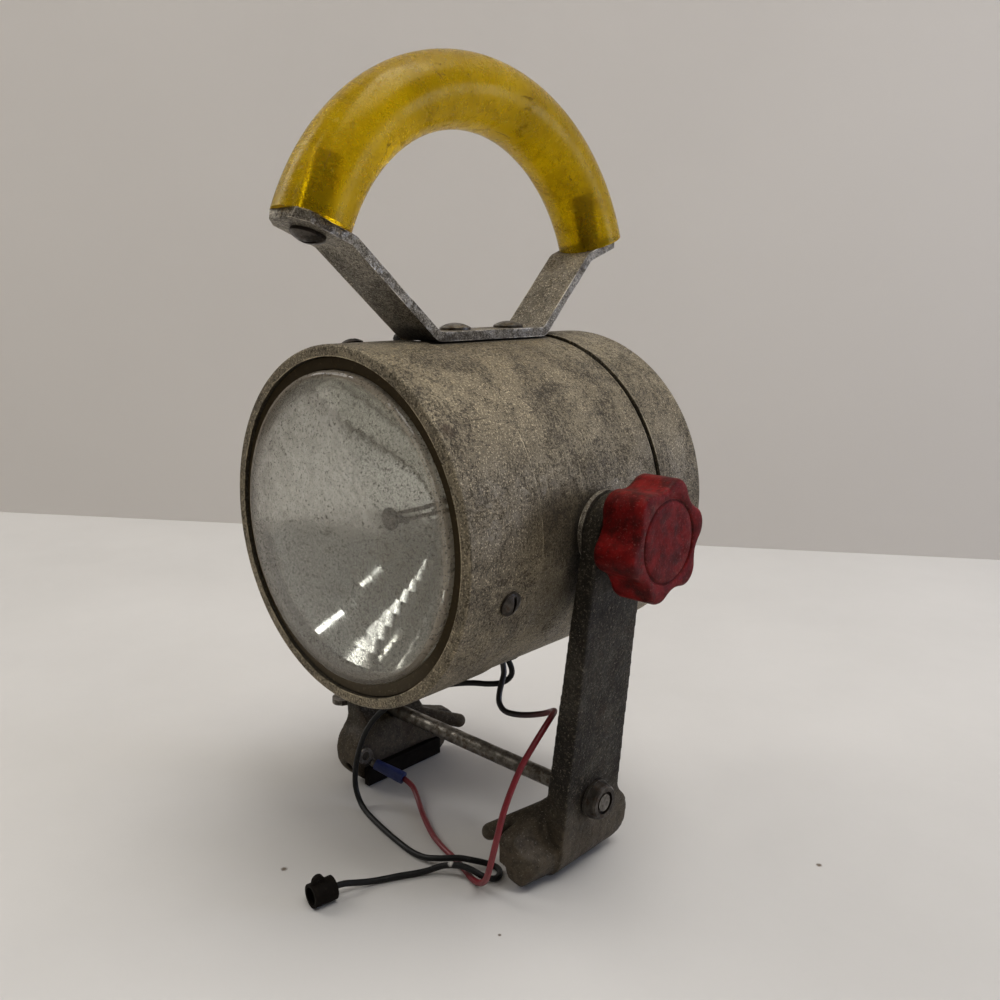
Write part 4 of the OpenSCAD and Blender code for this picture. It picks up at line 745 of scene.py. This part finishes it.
class LanternColours(bpy.types.PropertyGroup):
    """Tones between which each large surface varies, under its dust, dirt and wear."""

    drum_light: FloatVectorProperty(
        name="Drum, palest", description="Palest oxide on the drum", subtype="COLOR",
        default=(0.275, 0.232, 0.155), min=0, max=1)
    drum_dark: FloatVectorProperty(
        name="Drum, darkest", description="Darkest oxide on the drum", subtype="COLOR",
        default=(0.165, 0.136, 0.09), min=0, max=1)
    strap_light: FloatVectorProperty(
        name="Strap, palest", description="Palest oxide on the strap", subtype="COLOR",
        default=(0.3, 0.27, 0.215), min=0, max=1)
    strap_dark: FloatVectorProperty(
        name="Strap, darkest", description="Darkest oxide on the strap", subtype="COLOR",
        default=(0.145, 0.128, 0.098), min=0, max=1)
    casting_light: FloatVectorProperty(
        name="Casting, palest", description="Palest skin of the two legs", subtype="COLOR",
        default=(0.03, 0.0255, 0.018), min=0, max=1)
    casting_dark: FloatVectorProperty(
        name="Casting, darkest", description="Darkest skin of the two legs", subtype="COLOR",
        default=(0.009, 0.007, 0.0045), min=0, max=1)
    knob_light: FloatVectorProperty(
        name="Knob, palest", description="Palest red of the knob", subtype="COLOR",
        default=(0.19, 0.007, 0.007), min=0, max=1)
    knob_dark: FloatVectorProperty(
        name="Knob, darkest", description="Darkest red of the knob", subtype="COLOR",
        default=(0.055, 0.002, 0.002), min=0, max=1)
    grip_light: FloatVectorProperty(
        name="Grip, palest", description="Palest amber of the grip", subtype="COLOR",
        default=(0.76, 0.51, 0.002), min=0, max=1)
    grip_dark: FloatVectorProperty(
        name="Grip, darkest", description="Darkest amber of the grip", subtype="COLOR",
        default=(0.5, 0.325, 0.001), min=0, max=1)
    floor_light: FloatVectorProperty(
        name="Floor, palest", description="Palest tone of the floor", subtype="COLOR",
        default=(0.62, 0.605, 0.583), min=0, max=1)
    floor_dark: FloatVectorProperty(
        name="Floor, darkest", description="Darkest tone of the floor", subtype="COLOR",
        default=(0.57, 0.556, 0.535), min=0, max=1)
    wall_light: FloatVectorProperty(
        name="Wall, palest", description="Palest tone of the wall", subtype="COLOR",
        default=(0.8, 0.762, 0.722), min=0, max=1)
    wall_dark: FloatVectorProperty(
        name="Wall, darkest", description="Darkest tone of the wall", subtype="COLOR",
        default=(0.76, 0.722, 0.684), min=0, max=1)


class LanternStage(bpy.types.PropertyGroup):
    """Camera and light."""

    lens: FloatProperty(
        name="Lens", description="Focal length in millimetres", default=34.37, subtype="DISTANCE_CAMERA")
    room: FloatProperty(name="Room light", description="Strength of the light from all around", default=0.22)
    top_power: FloatProperty(
        name="Top light", description="Power of the light overhead", default=36.0, unit="POWER")
    side_power: FloatProperty(
        name="Window", description="Power of the light at the right", default=4.5, unit="POWER")
    wall_power: FloatProperty(
        name="Wall light", description="Power of the light on the wall", default=11.0, unit="POWER")
    lamp_power: FloatProperty(
        name="Lamps", description="Power of each small lamp ahead", default=1.2, unit="POWER")


class LANTERN_OT_camera(bpy.types.Operator):
    """Adds the camera that sees the lantern as the photograph does"""

    bl_idname = "lantern.camera"
    bl_label = "Camera"

    def execute(self, context):
        make_camera(context.scene.lantern_stage.lens)
        return {"FINISHED"}


class LANTERN_OT_leads(bpy.types.Operator):
    """Draws the red and the black lead with what is on their ends"""

    bl_idname = "lantern.leads"
    bl_label = "Leads"

    def execute(self, context):
        sides = context.scene.lantern_shape.lead_sides
        make_lead("red_wire", "red_lead", RED_ROUTE, "red_cover", sides)
        make_lead("black_wire", "black_lead", BLACK_ROUTE, "black_cover", sides)
        dress(["lead_barrel", "lead_terminal", "lead_end_cap", "lead_grommet", "inner_wires"])
        return {"FINISHED"}


class LANTERN_OT_drum(bpy.types.Operator):
    """Finishes the drum, its bezel and its rear cap"""

    bl_idname = "lantern.drum"
    bl_label = "Drum"

    def execute(self, context):
        dress(["drum_body", "pivot_bosses"], round_r=0.0003)
        dress(["bezel_ring", "rear_cap"], round_r=0.0005)
        dress(["cap_seal", "switch_body", "switch_button", "switch_nut"])
        return {"FINISHED"}


class LANTERN_OT_lamp(bpy.types.Operator):
    """Finishes the sealed lamp behind its lens"""

    bl_idname = "lantern.lamp"
    bl_label = "Lamp"

    def execute(self, context):
        dress(["lamp_lens", "lamp_reflector", "lens_gasket"])
        dress(["filament_posts", "lamp_filament", "lamp_terminals"])
        return {"FINISHED"}


class LANTERN_OT_handle(bpy.types.Operator):
    """Finishes the strap and the amber grip"""

    bl_idname = "lantern.handle"
    bl_label = "Handle"

    def execute(self, context):
        dress(["handle_strap"], round_r=0.0005)
        dress(["handle_grip"], round_r=0.0012)
        dress(["grip_inserts"])
        return {"FINISHED"}


class LANTERN_OT_knob(bpy.types.Operator):
    """Draws the lobed clamp knob"""

    bl_idname = "lantern.knob"
    bl_label = "Clamp knob"

    def execute(self, context):
        shape = context.scene.lantern_shape
        make_knob(shape.knob_lobes, shape.knob_hollow, shape.groove)
        dress(["knob_insert"])
        return {"FINISHED"}


class LANTERN_OT_bracket(bpy.types.Operator):
    """Finishes the two castings, their pads and the tie rod"""

    bl_idname = "lantern.bracket"
    bl_label = "Bracket"

    def execute(self, context):
        shape = context.scene.lantern_shape
        dress(["right_leg", "left_leg"])
        soften(["right_leg", "left_leg"], shape.cast_cell, shape.cast_rounds)
        dress(["jaw_pads", "tie_rod", "rod_nut", "rod_washers", "wing_nut"], round_r=0.0003)
        return {"FINISHED"}


class LANTERN_OT_fasteners(bpy.types.Operator):
    """Finishes the screws, nuts and washers of the head"""

    bl_idname = "lantern.fasteners"
    bl_label = "Fasteners"

    def execute(self, context):
        dress(["bezel_screws", "strap_screws", "grip_screws", "strap_nuts"], round_r=0.00025)
        dress(["pivot_studs", "pivot_washers", "left_pivot_nut"], round_r=0.0002)
        return {"FINISHED"}


class LANTERN_OT_stage(bpy.types.Operator):
    """Adds the floor, the wall and the lights"""

    bl_idname = "lantern.stage"
    bl_label = "Stage"

    def execute(self, context):
        tones = context.scene.lantern_colours
        stage = context.scene.lantern_stage
        make_floor(tones.floor_light, tones.floor_dark)
        make_wall(tones.wall_light, tones.wall_dark)
        make_world(stage.room)
        make_light("top_light", *LIGHTS["top_light"], stage.top_power)
        make_light("window_light", *LIGHTS["window_light"], stage.side_power)
        make_light("wall_light", *LIGHTS["wall_light"], stage.wall_power)
        for name, at in LAMPS.items():
            make_light(name, at, LAMP_AIM, LAMP_SIZE, LAMP_COLOUR, stage.lamp_power)
        return {"FINISHED"}


class LANTERN_PT_panel(bpy.types.Panel):
    """Sizes, colours and buttons of the lantern"""

    bl_idname = "LANTERN_PT_panel"
    bl_label = "Railroad lantern"
    bl_space_type = "VIEW_3D"
    bl_region_type = "UI"
    bl_category = "Lantern"

    def draw(self, context):
        layout = self.layout
        scene = context.scene
        for group in (scene.lantern_shape, scene.lantern_colours, scene.lantern_stage):
            column = layout.column(align=True)
            for name in group.bl_rna.properties.keys():
                if name not in ("rna_type", "name"):
                    column.prop(group, name)
        for operator in OPERATORS:
            layout.operator(operator.bl_idname)


OPERATORS = (
    LANTERN_OT_camera, LANTERN_OT_leads, LANTERN_OT_drum, LANTERN_OT_lamp, LANTERN_OT_handle,
    LANTERN_OT_knob, LANTERN_OT_bracket, LANTERN_OT_fasteners, LANTERN_OT_stage,
)
CLASSES = (LanternShape, LanternColours, LanternStage, *OPERATORS, LANTERN_PT_panel)


def register():
    for item in CLASSES:
        bpy.utils.register_class(item)
    bpy.types.Scene.lantern_shape = PointerProperty(type=LanternShape)
    bpy.types.Scene.lantern_colours = PointerProperty(type=LanternColours)
    bpy.types.Scene.lantern_stage = PointerProperty(type=LanternStage)


def unregister():
    del bpy.types.Scene.lantern_shape
    del bpy.types.Scene.lantern_colours
    del bpy.types.Scene.lantern_stage
    for item in reversed(CLASSES):
        bpy.utils.unregister_class(item)


def main():
    register()
    bpy.context.scene.view_settings.view_transform = "Standard"
    MATERIALS.update(make_materials(bpy.context.scene.lantern_colours))
    bpy.ops.lantern.camera()
    bpy.ops.lantern.leads()
    bpy.ops.lantern.drum()
    bpy.ops.lantern.lamp()
    bpy.ops.lantern.handle()
    bpy.ops.lantern.knob()
    bpy.ops.lantern.bracket()
    bpy.ops.lantern.fasteners()
    bpy.ops.lantern.stage()


if __name__ == "__main__":
    main()
